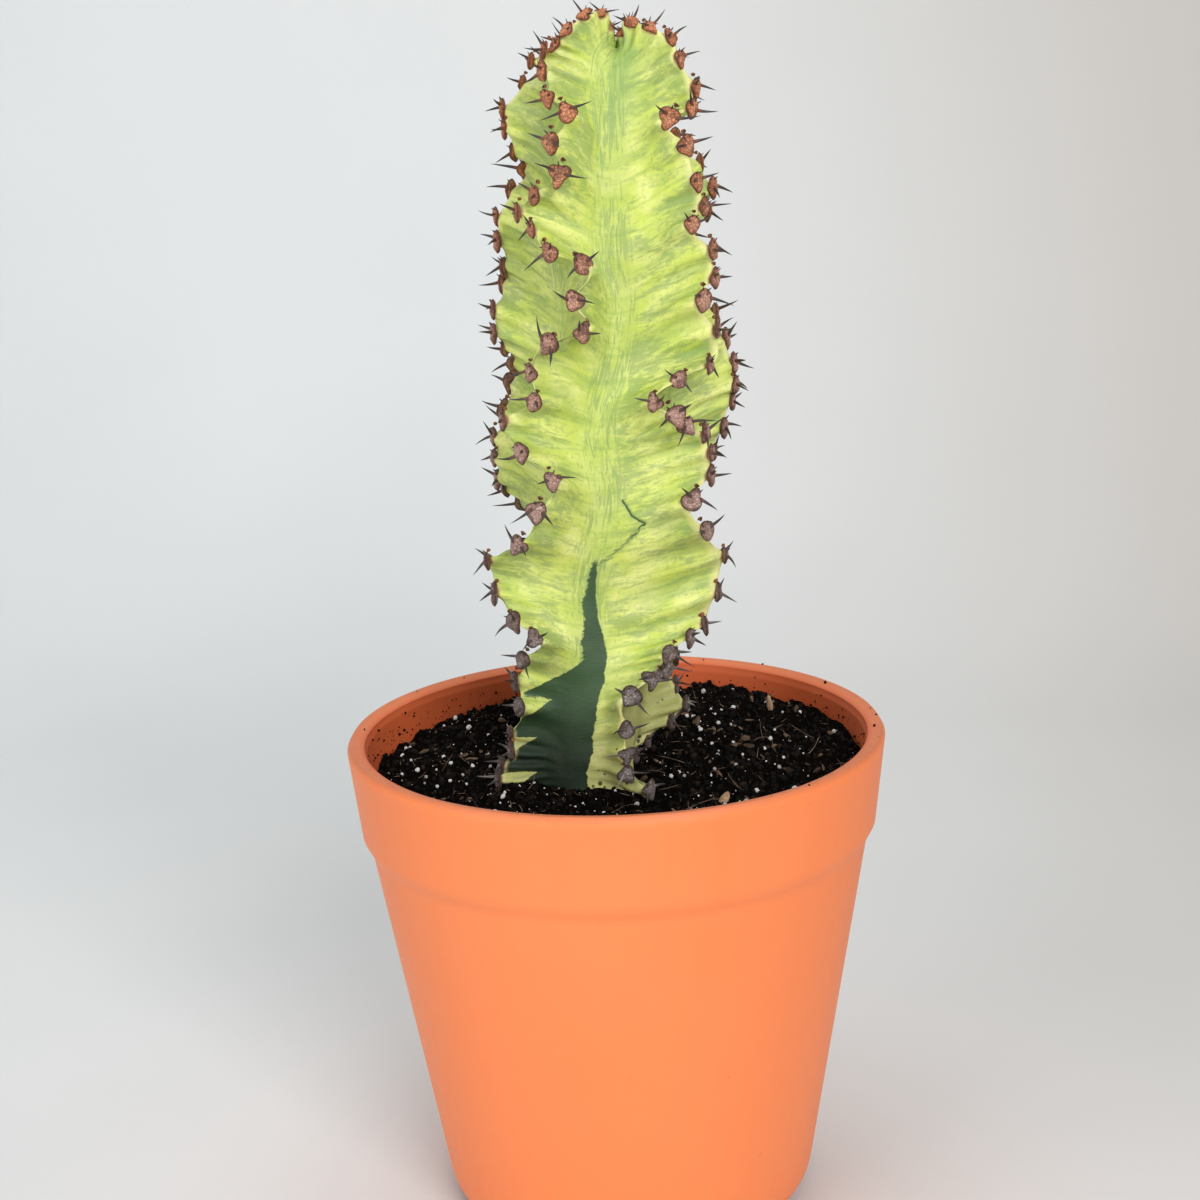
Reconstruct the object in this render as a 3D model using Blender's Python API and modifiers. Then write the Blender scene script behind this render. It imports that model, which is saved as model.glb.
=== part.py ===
"""Potted tall cactus: a four-ribbed candelabra stem in loose peat, in a tapered plastic pot.

Metres, +Z up, origin under the middle of the pot's foot. The front is -Y.
Run with: blender --background --python part.py
"""

import math

import bmesh
import bpy
import numpy as np
from mathutils import Matrix, Vector, noise

# ---- driving dimensions (metres) -------------------------------------------------------

POT_HEIGHT = 0.175
RIM_RADIUS = 0.095
RIM_WALL = 0.0063           # width of the rim's top, between its two rounded edges
RIM_ROUND = 0.0014
BAND_HEIGHT = 0.0327        # the plain band below the rim
BAND_FOOT_RADIUS = 0.0912
BAND_STEP = 0.0045          # height of the chamfer that ends the band
WALL_TOP_RADIUS = 0.0884
WALL_SLOPE = 0.171          # how far the wall comes in per metre of drop
CORNER_RADIUS = 0.017
FOOT_RING_WIDTH = 0.006
FOOT_RECESS = 0.0015
WALL_THICKNESS = 0.003
LEDGE_DEPTH = 0.0035        # small ledge inside, under the rim
LEDGE_WIDTH = 0.0007
TURN_STEPS = 48

BAND_FOOT = POT_HEIGHT - BAND_HEIGHT - BAND_STEP
LEDGE_HEIGHT = POT_HEIGHT - LEDGE_DEPTH
LEDGE_RADIUS = RIM_RADIUS - RIM_WALL - LEDGE_WIDTH

DRAIN_COUNT = 4
DRAIN_RADIUS = 0.004
DRAIN_CIRCLE = 0.030

GAP = 0.0003                # clearance between pieces that rest on each other

SOIL_LEVEL = POT_HEIGHT - 0.0105
SOIL_RINGS = 9
SOIL_TILT = 0.003           # rise of the soil from its middle to the back right
SOIL_SKIRT = 0.006          # how far its edge is turned down before it follows the wall
SOIL_LUMP_HEIGHT = 0.0026
SOIL_LUMPS_PER_METRE = 28
POCKET_TOP = 0.012          # the cut for the stem ends this far above the soil's level

STEM_FOOT = (-0.008, -0.012)   # where the stem stands in the pot
STEM_LEAN = 0.017              # how far its top leans towards +X
STEM_HEIGHT = 0.251            # above the soil
STEM_ROOT_DEPTH = 0.028        # below the soil
APEX_SINK = 0.006              # the growing point sits in a dimple
ROW_PITCH = 0.0042
CREST_HALF_THICKNESS = 0.0017
NECK_SHARE = 0.66              # where the flank's thickening starts, as a share of the reach
NECK_SPREAD = 0.075            # how much thicker a rib is there, as a share of the reach
VALLEY_SHARE = 0.42            # valley radius over mean rib reach
TOOTH_RISE = 0.0045            # how far a spine cushion and its spines stand out
TOOTH_ROWS = 3                 # rows from one cushion to the next
TOOTH_CLEARANCE = 0.005        # no tooth this near the soil or the top
STEM_SHARP_DEGREES = 50

# Each rib's crest as (height above the soil in mm, bearing in degrees, reach in mm).
# A bearing of 0 faces the front and +90 faces +X. The crests wave from side to side.
RIB_CRESTS = {
    "front_left": [
        (-28, -84, 18), (-6, -88, 28), (4, -88, 30), (13, -84, 29), (26, -66, 29), (35, -72, 30),
        (45, -54, 32), (56, -42, 34), (67, -66, 38), (79, -72, 41), (90, -46, 42), (99, -32, 42),
        (110, -24, 42), (118, -42, 42), (128, -54, 43), (136, -38, 42), (145, -38, 42),
        (153, -28, 42), (160, -14, 41), (168, -18, 41), (177, -14, 40), (184, -30, 40),
        (190, -44, 39), (196, -52, 38), (202, -40, 37), (208, -28, 37), (217, -36, 35),
        (224, -28, 33), (230, -44, 32), (237, -56, 29), (243, -66, 26), (248, -50, 19), (251, -34, 10),
    ],
    "front_right": [
        (-28, 26, 18), (-6, 30, 28), (4, 26, 28), (12, 22, 28), (21, 22, 28), (33, 22, 30),
        (40, 42, 31), (47, 52, 33), (54, 70, 35), (62, 80, 39), (76, 78, 42), (88, 57, 41),
        (99, 46, 42), (107, 58, 42), (116, 50, 42), (125, 38, 42), (134, 22, 42), (141, 36, 42),
        (148, 56, 42), (156, 57, 41), (167, 47, 41), (174, 56, 41), (182, 53, 40), (189, 42, 39),
        (196, 49, 38), (204, 46, 37), (214, 41, 35), (221, 32, 33), (227, 49, 32), (234, 52, 30),
        (240, 47, 27), (246, 40, 20), (251, 34, 10),
    ],
    "back_right": [
        (-28, 104, 17), (-6, 104, 26), (9, 98, 24), (21, 100, 30), (30, 106, 30), (40, 118, 32),
        (52, 132, 36), (64, 150, 40), (76, 158, 42), (88, 148, 41), (98, 132, 42), (108, 112, 42),
        (118, 102, 42), (127, 99, 44), (136, 96, 44), (144, 104, 43), (152, 114, 42),
        (162, 132, 42), (172, 146, 41), (182, 136, 40), (190, 122, 39), (198, 116, 38),
        (207, 134, 36), (216, 148, 35), (225, 138, 33), (233, 146, 30), (240, 138, 26),
        (246, 144, 19), (251, 146, 10),
    ],
    "back_left": [
        (-28, 192, 17), (-6, 190, 26), (6, 196, 27), (18, 187, 28), (28, 200, 29), (38, 192, 31),
        (48, 206, 34), (58, 197, 38), (68, 212, 41), (78, 203, 42), (88, 222, 42), (98, 240, 40),
        (107, 252, 39), (115, 255, 38), (124, 242, 41), (133, 233, 42), (142, 241, 38),
        (151, 254, 39), (160, 256, 38), (169, 250, 37), (177, 258, 36), (185, 262, 38),
        (193, 260, 38), (200, 250, 35), (207, 245, 33), (214, 256, 34), (221, 262, 36),
        (228, 256, 36), (235, 244, 31), (241, 232, 26), (246, 228, 19), (251, 226, 10),
    ],
}

# Loose pieces on the soil: (x, y, size, turn in degrees), in metres. A grain's size is its
# radius, and a chip's its length.
PERLITE_GRAINS = [
    (0.053, -0.049, 0.0021, 10), (0.043, -0.047, 0.0019, 70), (-0.042, -0.040, 0.0020, 35),
    (-0.036, 0.024, 0.0023, 120), (0.031, 0.022, 0.0022, 200), (0.038, 0.031, 0.0019, 260),
    (0.060, -0.038, 0.0020, 310), (-0.055, 0.043, 0.0024, 20),
]
BARK_CHIPS = [
    (0.036, -0.040, 0.0080, 25), (-0.056, -0.047, 0.0070, 130), (0.058, 0.044, 0.0075, 75),
]
GRAIN_PROPORTIONS = (1.0, 1.0, 0.85)
BARK_PROPORTIONS = (1.0, 0.5, 0.3)
LUMP_ROUGHNESS = 0.18
GRAIN_SEED = 40
CHIP_SEED = 70


# ---- helpers ---------------------------------------------------------------------------


def clear_scene():
    for old in list(bpy.data.objects):
        bpy.data.objects.remove(old, do_unlink=True)


def make_collection(name):
    made = bpy.data.collections.new(name)
    bpy.context.scene.collection.children.link(made)
    return made


def make_material(name, colour, roughness, metallic=0.0):
    made = bpy.data.materials.new(name)
    made.use_nodes = True
    shader = made.node_tree.nodes["Principled BSDF"]
    shader.inputs["Base Color"].default_value = (*colour, 1.0)
    shader.inputs["Roughness"].default_value = roughness
    shader.inputs["Metallic"].default_value = metallic
    return made


def add_mesh_object(name, points, faces, collection, material=None):
    mesh = bpy.data.meshes.new(name)
    mesh.from_pydata([tuple(p) for p in points], [], [tuple(f) for f in faces])
    mesh.update()
    made = bpy.data.objects.new(name, mesh)
    collection.objects.link(made)
    if material is not None:
        mesh.materials.append(material)
    return made


def shade_round(obj, sharp_degrees):
    obj.data.shade_smooth()
    obj.data.set_sharp_from_angle(angle=math.radians(sharp_degrees))


def mark_as_cutter(obj):
    obj.hide_render = True
    obj.display_type = "WIRE"


def cut(obj, cutter, name):
    modifier = obj.modifiers.new(name, "BOOLEAN")
    modifier.operation = "DIFFERENCE"
    modifier.object = cutter


def arc(centre, radius, start_degrees, end_degrees, steps):
    """Points on an arc in the (radius, height) half-plane."""
    angles = np.radians(np.linspace(start_degrees, end_degrees, steps + 1))
    return [(centre[0] + radius * math.cos(a), centre[1] + radius * math.sin(a)) for a in angles]


def turned(name, profile, collection, material):
    """A Screw around Z of a profile of (radius, height) points."""
    points = [(radius, 0.0, height) for radius, height in profile]
    edges = [(i, i + 1) for i in range(len(points) - 1)]
    mesh = bpy.data.meshes.new(name)
    mesh.from_pydata(points, edges, [])
    mesh.materials.append(material)
    made = bpy.data.objects.new(name, mesh)
    collection.objects.link(made)
    screw = made.modifiers.new("turn", "SCREW")
    screw.axis = "Z"
    screw.steps = TURN_STEPS
    screw.render_steps = TURN_STEPS
    screw.use_merge_vertices = True
    screw.merge_threshold = 0.00001
    screw.use_smooth_shade = True
    return made


# ---- pot -------------------------------------------------------------------------------


def wall_radius(height):
    """Outer radius of the wall below the band."""
    return WALL_TOP_RADIUS - WALL_SLOPE * (BAND_FOOT - height)


def inner_radius(height):
    """Radius of the pot's inside, from the floor's corner up to the ledge under the rim."""
    if height < BAND_FOOT:
        return wall_radius(height) - WALL_THICKNESS
    share = (height - BAND_FOOT) / (LEDGE_HEIGHT - BAND_FOOT)
    start = WALL_TOP_RADIUS - WALL_THICKNESS
    return start + share * (LEDGE_RADIUS - start)


def foot_corner(radius, floor, inset):
    """The rounded corner between a wall set in by inset and a floor, from wall to floor."""
    lean = math.degrees(math.atan(WALL_SLOPE))
    height = floor + radius
    middle = wall_radius(height) - inset - radius / math.cos(math.radians(lean))
    return arc((middle, height), radius, -lean, -90, 6)


def pot_profile():
    """From the middle of the inside floor, up the inside, over the rim and down the outside."""
    floor = FOOT_RECESS + WALL_THICKNESS
    inner_corner = foot_corner(CORNER_RADIUS - WALL_THICKNESS, floor, WALL_THICKNESS)
    outer_corner = foot_corner(CORNER_RADIUS, 0.0, 0.0)
    rim_inside = RIM_RADIUS - RIM_WALL
    foot_edge = outer_corner[-1][0]
    recess_edge = foot_edge - FOOT_RING_WIDTH
    profile = [(0.0, floor)]
    profile += reversed(inner_corner)
    profile += [(inner_radius(BAND_FOOT), BAND_FOOT)]
    profile += [(LEDGE_RADIUS, LEDGE_HEIGHT), (rim_inside, LEDGE_HEIGHT + LEDGE_WIDTH)]
    profile += arc((rim_inside + RIM_ROUND, POT_HEIGHT - RIM_ROUND), RIM_ROUND, 180, 90, 3)
    profile += arc((RIM_RADIUS - RIM_ROUND, POT_HEIGHT - RIM_ROUND), RIM_ROUND, 90, 0, 3)
    profile += [(BAND_FOOT_RADIUS, POT_HEIGHT - BAND_HEIGHT)]
    profile += [(WALL_TOP_RADIUS, BAND_FOOT)]
    profile += outer_corner
    profile += [(recess_edge, 0.0), (recess_edge - FOOT_RECESS, FOOT_RECESS), (0.0, FOOT_RECESS)]
    return profile


def build_pot(parts, cutters, material):
    pot = turned("pot", pot_profile(), parts, material)
    for i in range(DRAIN_COUNT):
        angle = 2 * math.pi * (i + 0.5) / DRAIN_COUNT
        bpy.ops.mesh.primitive_cylinder_add(
            vertices=12, radius=DRAIN_RADIUS, depth=6 * WALL_THICKNESS,
            location=(DRAIN_CIRCLE * math.cos(angle), DRAIN_CIRCLE * math.sin(angle), FOOT_RECESS),
        )
        drain = bpy.context.object
        drain.name = f"drain_cutter_{i + 1}"
        for owner in list(drain.users_collection):
            owner.objects.unlink(drain)
        cutters.objects.link(drain)
        mark_as_cutter(drain)
        cut(pot, drain, f"drain_{i + 1}")


# ---- stem ------------------------------------------------------------------------------


def smooth_through(knots, heights):
    """A monotone-in-height curve through the knots, eased so that each knot is a turning place."""
    at = np.array([k[0] for k in knots], float)
    values = np.array([k[1:] for k in knots], float)
    place = np.clip(np.searchsorted(at, heights, side="right") - 1, 0, len(at) - 2)
    share = np.clip((heights - at[place]) / (at[place + 1] - at[place]), 0.0, 1.0)
    ease = share * share * (3 - 2 * share)
    share = 0.5 * (share + ease)
    return values[place] + (values[place + 1] - values[place]) * share[:, None]


def stem_axis(heights):
    """The stem's middle at each height (in metres above the soil), in the pot's frame."""
    lean = STEM_LEAN * np.clip(heights / STEM_HEIGHT, 0.0, 1.0)
    return np.stack([STEM_FOOT[0] + lean, np.full_like(heights, STEM_FOOT[1])], axis=1)


def towards(bearing_degrees):
    """Unit vector in plan for a bearing: 0 is the front, -Y, and +90 is +X."""
    angle = np.radians(bearing_degrees)
    return np.stack([np.sin(angle), -np.cos(angle)], axis=-1)


def stem_rows(heights, grow=0.0, with_teeth=True):
    """Closed star-shaped rows, one for each height: each row runs once round the stem.

    Between two crests the flank is a curve from one crest's edge, through a point part of
    the way in along the rib, to the valley, and the same again out to the next crest.
    """
    axis = stem_axis(heights)
    ribs = [smooth_through(knots, heights * 1000) for knots in RIB_CRESTS.values()]
    reach_mean = np.mean([rib[:, 1] for rib in ribs], axis=0) / 1000
    columns = []
    for k, rib in enumerate(ribs):
        following = ribs[(k + 1) % len(ribs)]
        bearing, reach = rib[:, 0], rib[:, 1] / 1000
        next_bearing, next_reach = following[:, 0], following[:, 1] / 1000
        gap = (next_bearing - bearing) % 360
        out, next_out = towards(bearing), towards(next_bearing)
        side = np.stack([-out[:, 1], out[:, 0]], axis=1)
        next_side = np.stack([-next_out[:, 1], next_out[:, 0]], axis=1)
        middle = towards(bearing + gap / 2)
        valley = middle * (VALLEY_SHARE * reach_mean + grow)[:, None]
        rise = np.zeros(len(heights))
        if with_teeth:
            toothed = (np.arange(len(heights)) + k) % TOOTH_ROWS == 0
            clear = (heights > TOOTH_CLEARANCE) & (heights < STEM_HEIGHT - TOOTH_CLEARANCE)
            rise = TOOTH_RISE * (toothed & clear)
        half = CREST_HALF_THICKNESS + grow
        crest = out * (reach + grow + rise)[:, None]
        edge = out * (reach - half)[:, None] + side * half
        neck = (out * (NECK_SHARE * reach)[:, None]
                + side * (half + NECK_SPREAD * reach)[:, None])
        next_edge = next_out * (next_reach - half)[:, None] - next_side * half
        next_neck = (next_out * (NECK_SHARE * next_reach)[:, None]
                     - next_side * (half + NECK_SPREAD * next_reach)[:, None])
        columns += [crest, edge, neck, 0.5 * neck + 0.5 * valley, valley,
                    0.5 * next_neck + 0.5 * valley, next_neck, next_edge]
    plan = np.stack(columns, axis=1) + axis[:, None, :]
    level = np.broadcast_to(heights[:, None, None] + SOIL_LEVEL, plan.shape[:2] + (1,))
    return np.concatenate([plan, level], axis=2)


def loft(name, rows, bottom, top, collection, material=None):
    """Closed skin over stacked rows, with a point to close each end."""
    count, around = rows.shape[:2]
    points = rows.reshape(-1, 3).tolist() + [bottom, top]
    faces = []
    for i in range(count - 1):
        for j in range(around):
            a, b = i * around + j, i * around + (j + 1) % around
            faces.append((a, b, b + around, a + around))
    last = (count - 1) * around
    for j in range(around):
        following = (j + 1) % around
        faces.append((following, j, len(points) - 2))
        faces.append((last + j, last + following, len(points) - 1))
    made = add_mesh_object(name, points, faces, collection, material)
    shape = bmesh.new()
    shape.from_mesh(made.data)
    bmesh.ops.triangulate(shape, faces=shape.faces)
    bmesh.ops.recalc_face_normals(shape, faces=shape.faces)
    shape.to_mesh(made.data)
    shape.free()
    return made


def row_heights():
    """Heights of the stem's rows above the soil."""
    count = round((STEM_HEIGHT + STEM_ROOT_DEPTH) / ROW_PITCH)
    return np.linspace(-STEM_ROOT_DEPTH, STEM_HEIGHT, count + 1)


def build_stem(parts, material):
    heights = row_heights()
    rows = stem_rows(heights)
    ends = stem_axis(heights[[0, -1]])
    bottom = [*ends[0], SOIL_LEVEL - STEM_ROOT_DEPTH]
    top = [*ends[1], SOIL_LEVEL + STEM_HEIGHT - APEX_SINK]
    stem = loft("cactus_stem", rows, bottom, top, parts, material)
    shade_round(stem, STEM_SHARP_DEGREES)


# ---- soil ------------------------------------------------------------------------------


def soil_height(x, y):
    """Top of the soil: a little higher at the back and right, and softly uneven."""
    lumps = noise.noise(Vector((x, y, 0.0)) * SOIL_LUMPS_PER_METRE) * SOIL_LUMP_HEIGHT
    return SOIL_LEVEL + SOIL_TILT * (x / 2 + y) / RIM_RADIUS + lumps


def build_soil(parts, cutters, material):
    """Rings from the middle of the top out to the wall, then down the wall to the floor."""
    angles = 2 * math.pi * np.arange(TURN_STEPS) / TURN_STEPS
    rings = []
    for i in range(1, SOIL_RINGS + 1):
        share = i / SOIL_RINGS
        radius = share * (inner_radius(SOIL_LEVEL - SOIL_SKIRT) - GAP)
        ring = [(radius * math.cos(a), radius * math.sin(a)) for a in angles]
        rings.append([(x, y, soil_height(x, y)) for x, y in ring])
    floor = FOOT_RECESS + WALL_THICKNESS
    side = [(inner_radius(height) - GAP, height) for height in (SOIL_LEVEL - SOIL_SKIRT, BAND_FOOT)]
    side += foot_corner(CORNER_RADIUS - WALL_THICKNESS - GAP, floor + GAP, WALL_THICKNESS + GAP)
    for radius, height in side:
        rings.append([(radius * math.cos(a), radius * math.sin(a), height) for a in angles])
    rows = np.array(rings)
    soil = loft("soil", rows, [0.0, 0.0, soil_height(0, 0)], [0.0, 0.0, floor + GAP], parts, material)
    heights = row_heights()
    heights = heights[heights < POCKET_TOP]
    heights[0] -= GAP
    ends = stem_axis(heights[[0, -1]])
    pocket = loft(
        "stem_pocket_cutter", stem_rows(heights, grow=1.4 * GAP, with_teeth=False),
        [*ends[0], SOIL_LEVEL + heights[0]], [*ends[1], SOIL_LEVEL + heights[-1]], cutters,
    )
    mark_as_cutter(pocket)
    cut(soil, pocket, "stem_pocket")


# ---- loose pieces on the soil ----------------------------------------------------------


def build_grain(name, x, y, size, turn, proportions, parts, material, seed):
    """A small lump, its points pushed in and out, resting on the soil."""
    shape = bmesh.new()
    bmesh.ops.create_icosphere(shape, subdivisions=1, radius=size)
    rng = np.random.default_rng(seed)
    for vertex in shape.verts:
        vertex.co *= 1 + LUMP_ROUGHNESS * (rng.random() - 0.5)
        vertex.co = Vector(c * p for c, p in zip(vertex.co, proportions))
    bmesh.ops.recalc_face_normals(shape, faces=shape.faces)
    mesh = bpy.data.meshes.new(name)
    shape.to_mesh(mesh)
    shape.free()
    mesh.materials.append(material)
    lowest = min(v.co.z for v in mesh.vertices)
    width = max(abs(v.co.x) for v in mesh.vertices)
    around = [soil_height(x + dx * width, y + dy * width) for dx in (-1, 0, 1) for dy in (-1, 0, 1)]
    made = bpy.data.objects.new(name, mesh)
    made.matrix_world = Matrix.Translation((x, y, max(around) + GAP - lowest)) @ Matrix.Rotation(
        math.radians(turn), 4, "Z"
    )
    parts.objects.link(made)


def build_loose_pieces(parts, perlite, bark):
    for i, (x, y, size, turn) in enumerate(PERLITE_GRAINS):
        build_grain(f"perlite_{i + 1}", x, y, size, turn, GRAIN_PROPORTIONS, parts, perlite,
                    GRAIN_SEED + i)
    for i, (x, y, size, turn) in enumerate(BARK_CHIPS):
        build_grain(f"bark_chip_{i + 1}", x, y, size / 2, turn, BARK_PROPORTIONS, parts, bark,
                    CHIP_SEED + i)


def main():
    clear_scene()
    parts = make_collection("potted_tall_cactus")
    cutters = make_collection("cutters")
    build_pot(parts, cutters, make_material("orange_plastic", (0.90, 0.26, 0.08), 0.48))
    build_soil(parts, cutters, make_material("dark_peat", (0.012, 0.010, 0.009), 0.95))
    build_stem(parts, make_material("stem_skin", (0.50, 0.62, 0.14), 0.42))
    build_loose_pieces(
        parts,
        make_material("white_perlite", (0.72, 0.70, 0.66), 0.9),
        make_material("bark", (0.26, 0.15, 0.08), 0.85),
    )


main()
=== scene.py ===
"""Looks of the potted tall cactus: a wavy four-ribbed stem in loose peat, in an orange plastic pot.

Everything is in metres in the part's own frame, +Z up, front towards -Y. Each new piece is a numpy
surface whose place is in its mesh, so every object sits at the origin.
"""

import itertools
import logging
import math
from dataclasses import dataclass, field
from enum import Enum
from typing import Optional, Sequence

import bpy
import numpy as np
from mathutils import Matrix, Vector


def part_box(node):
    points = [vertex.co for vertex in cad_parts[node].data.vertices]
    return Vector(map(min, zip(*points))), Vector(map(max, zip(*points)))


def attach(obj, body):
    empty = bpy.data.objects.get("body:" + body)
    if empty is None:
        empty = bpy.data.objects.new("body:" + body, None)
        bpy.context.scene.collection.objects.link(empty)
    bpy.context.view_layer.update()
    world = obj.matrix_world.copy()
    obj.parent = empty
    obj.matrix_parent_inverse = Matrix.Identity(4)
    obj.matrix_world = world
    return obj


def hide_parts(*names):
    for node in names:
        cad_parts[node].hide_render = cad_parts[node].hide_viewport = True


Array = np.ndarray
Material = bpy.types.Material
Socket = bpy.types.NodeSocket
Triple = tuple[float, float, float]

MM = 0.001
LOG = logging.getLogger("potted_cactus")

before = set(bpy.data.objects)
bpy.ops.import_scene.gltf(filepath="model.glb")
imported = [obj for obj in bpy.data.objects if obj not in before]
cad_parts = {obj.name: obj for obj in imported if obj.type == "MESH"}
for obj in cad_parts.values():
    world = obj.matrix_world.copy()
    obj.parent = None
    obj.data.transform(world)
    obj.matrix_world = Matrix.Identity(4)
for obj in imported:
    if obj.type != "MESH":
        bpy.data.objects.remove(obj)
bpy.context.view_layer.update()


# ---- numpy helpers ----


def smoothstep(values: Array, low: float, high: float) -> Array:
    """Ease from 0 at low to 1 at high: 3 s^2 - 2 s^3 of the clipped share s."""
    share = np.clip((values - low) / (high - low), 0.0, 1.0)
    return share * share * (3.0 - 2.0 * share)


def corner_value(cell: Array, seed: int) -> Array:
    """One random number in -1..1 for each whole-number corner, from an integer hash."""
    mixed = cell.astype(np.int64)
    key = mixed[..., 0] * 73856093 ^ mixed[..., 1] * 19349663 ^ mixed[..., 2] * 83492791
    key = (key ^ (seed * 2654435761)) & 0xFFFFFFFF
    key = ((key ^ (key >> 15)) * 2246822519) & 0xFFFFFFFF
    key = ((key ^ (key >> 13)) * 3266489917) & 0xFFFFFFFF
    key = key ^ (key >> 16)
    return key / 2147483648.0 - 1.0


def value_noise(points: Array, cell: float, seed: int) -> Array:
    """Smooth noise: the random numbers at a cell's eight corners, blended by smoothstep.

    Args:
        points: Places, (..., 3).
        cell: Size of one cell, in the same unit.
        seed: Chooses another pattern.

    Returns:
        Numbers in -1..1, without the last axis.
    """
    scaled = np.asarray(points, float) / cell
    base = np.floor(scaled)
    share = scaled - base
    ease = share * share * (3.0 - 2.0 * share)
    total = np.zeros(scaled.shape[:-1])
    for corner in itertools.product((0, 1), repeat=3):
        offset = np.array(corner)
        weight = np.prod(np.where(offset == 1, ease, 1.0 - ease), axis=-1)
        total = total + weight * corner_value(base + offset, seed)
    return total


def layered_noise(points: Array, cell: float, seed: int, layers: int = 3) -> Array:
    """A sum of value noises, each with half the cell and half the height of the last."""
    total = np.zeros(np.asarray(points).shape[:-1])
    for layer in range(layers):
        total = total + 0.5**layer * value_noise(points, cell * 0.5**layer, seed + 31 * layer)
    return total / (2.0 - 0.5 ** (layers - 1))


def curve_through(places: Array, values: Array, at: Array) -> Array:
    """A Catmull-Rom curve: cubic pieces through the knots, each slope from its two neighbours.

    Args:
        places: Rising knot places, (K,).
        values: Knot values, (K, N).
        at: Where to read the curve, (T,).

    Returns:
        The curve's values, (T, N).
    """
    slopes = np.gradient(values, places, axis=0)
    index = np.clip(np.searchsorted(places, at, side="right") - 1, 0, len(places) - 2)
    width = (places[index + 1] - places[index])[:, None]
    s = np.clip((at - places[index])[:, None] / width, 0.0, 1.0)
    start, end = values[index], values[index + 1]
    start_slope, end_slope = slopes[index] * width, slopes[index + 1] * width
    return (
        start * (2 * s**3 - 3 * s**2 + 1)
        + start_slope * (s**3 - 2 * s**2 + s)
        + end * (3 * s**2 - 2 * s**3)
        + end_slope * (s**3 - s**2)
    )


def blurred(values: Array, spacing: float, width: float) -> Array:
    """A Gaussian average along the first axis: width is its deviation, in the unit of spacing."""
    place = np.arange(len(values)) * spacing
    weight = np.exp(-0.5 * ((place[:, None] - place[None, :]) / width) ** 2)
    weight /= weight.sum(axis=1, keepdims=True)
    return np.tensordot(weight, values, axes=(1, 0))


def unit(vectors: Array) -> Array:
    """The vectors divided by their own lengths."""
    length = np.linalg.norm(vectors, axis=-1, keepdims=True)
    return vectors / np.maximum(length, 1e-12)


def towards(bearing: Array) -> Array:
    """Level unit vectors for bearings in degrees: 0 is the front, -Y, and +90 is +X."""
    angle = np.radians(bearing)
    return np.stack([np.sin(angle), -np.cos(angle), np.zeros_like(angle)], axis=-1)


def grid_faces(rows: int, columns: int, close_columns: bool = True) -> Array:
    """Quads of a grid numbered row by row; each row's last point may join its first, (F, 4)."""
    last = columns if close_columns else columns - 1
    row, column = np.meshgrid(np.arange(rows - 1), np.arange(last), indexing="ij")
    following = (column + 1) % columns
    a = row * columns + column
    b = row * columns + following
    return np.stack([a, b, b + columns, a + columns], axis=-1).reshape(-1, 4)


def fan_faces(ring: Array, tip: int) -> Array:
    """Triangles from each edge of a closed ring of point numbers to one tip."""
    return np.stack([ring, np.roll(ring, -1), np.full(len(ring), tip)], axis=-1)


# ---- from arrays to pieces ----


@dataclass
class Surface:
    """Points, faces and what is painted on them, ready to become one piece."""

    points: Array
    quads: Array
    triangles: Array = field(default_factory=lambda: np.zeros((0, 3), int))
    values: dict[str, Array] = field(default_factory=dict)
    flow: Optional[Array] = None

    def to_mesh(self, name: str) -> bpy.types.Mesh:
        """A smooth-shaded mesh with each of the values as an attribute and the flow as a UV map."""
        mesh = bpy.data.meshes.new(name)
        corners = np.concatenate([self.quads.ravel(), self.triangles.ravel()]).astype(np.int32)
        sizes = np.concatenate([np.full(len(self.quads), 4), np.full(len(self.triangles), 3)])
        mesh.vertices.add(len(self.points))
        mesh.vertices.foreach_set("co", self.points.astype(np.float32).ravel())
        mesh.loops.add(len(corners))
        mesh.loops.foreach_set("vertex_index", corners)
        mesh.polygons.add(len(sizes))
        starts = np.concatenate([[0], np.cumsum(sizes)[:-1]]).astype(np.int32)
        mesh.polygons.foreach_set("loop_start", starts)
        mesh.update(calc_edges=True)
        mesh.validate()
        for label, numbers in self.values.items():
            made = mesh.attributes.new(label, "FLOAT", "POINT")
            made.data.foreach_set("value", np.asarray(numbers, np.float32).ravel())
        if self.flow is not None:
            layer = mesh.uv_layers.new(name="flow")
            layer.data.foreach_set("uv", self.flow.astype(np.float32).ravel())
        mesh.shade_smooth()
        return mesh


def joined(surfaces: Sequence[Surface]) -> Surface:
    """One surface holding several, their point numbers shifted to follow each other."""
    shift = np.cumsum([0] + [len(s.points) for s in surfaces[:-1]])
    labels = surfaces[0].values.keys()
    return Surface(
        points=np.concatenate([s.points for s in surfaces]),
        quads=np.concatenate([s.quads + n for s, n in zip(surfaces, shift)]).astype(int),
        triangles=np.concatenate([s.triangles + n for s, n in zip(surfaces, shift)]).astype(int),
        values={k: np.concatenate([s.values[k] for s in surfaces]) for k in labels},
    )


def add_piece(
    name: str,
    surface: Surface,
    material: Material,
    replaces: Sequence[str] = (),
) -> bpy.types.Object:
    """Make a piece of the object, riding on its one body.

    Args:
        name: The piece's name.
        surface: Its shape.
        material: Its finish.
        replaces: The CAD nodes that it stands for.

    Returns:
        The new object.
    """
    mesh = surface.to_mesh(name)
    mesh.materials.append(material)
    made = bpy.data.objects.new(name, mesh)
    bpy.context.scene.collection.objects.link(made)
    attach(made, "root")
    if replaces:
        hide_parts(*replaces)
    LOG.info("%s: %d points, %d faces", name, len(mesh.vertices), len(mesh.polygons))
    return made


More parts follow.
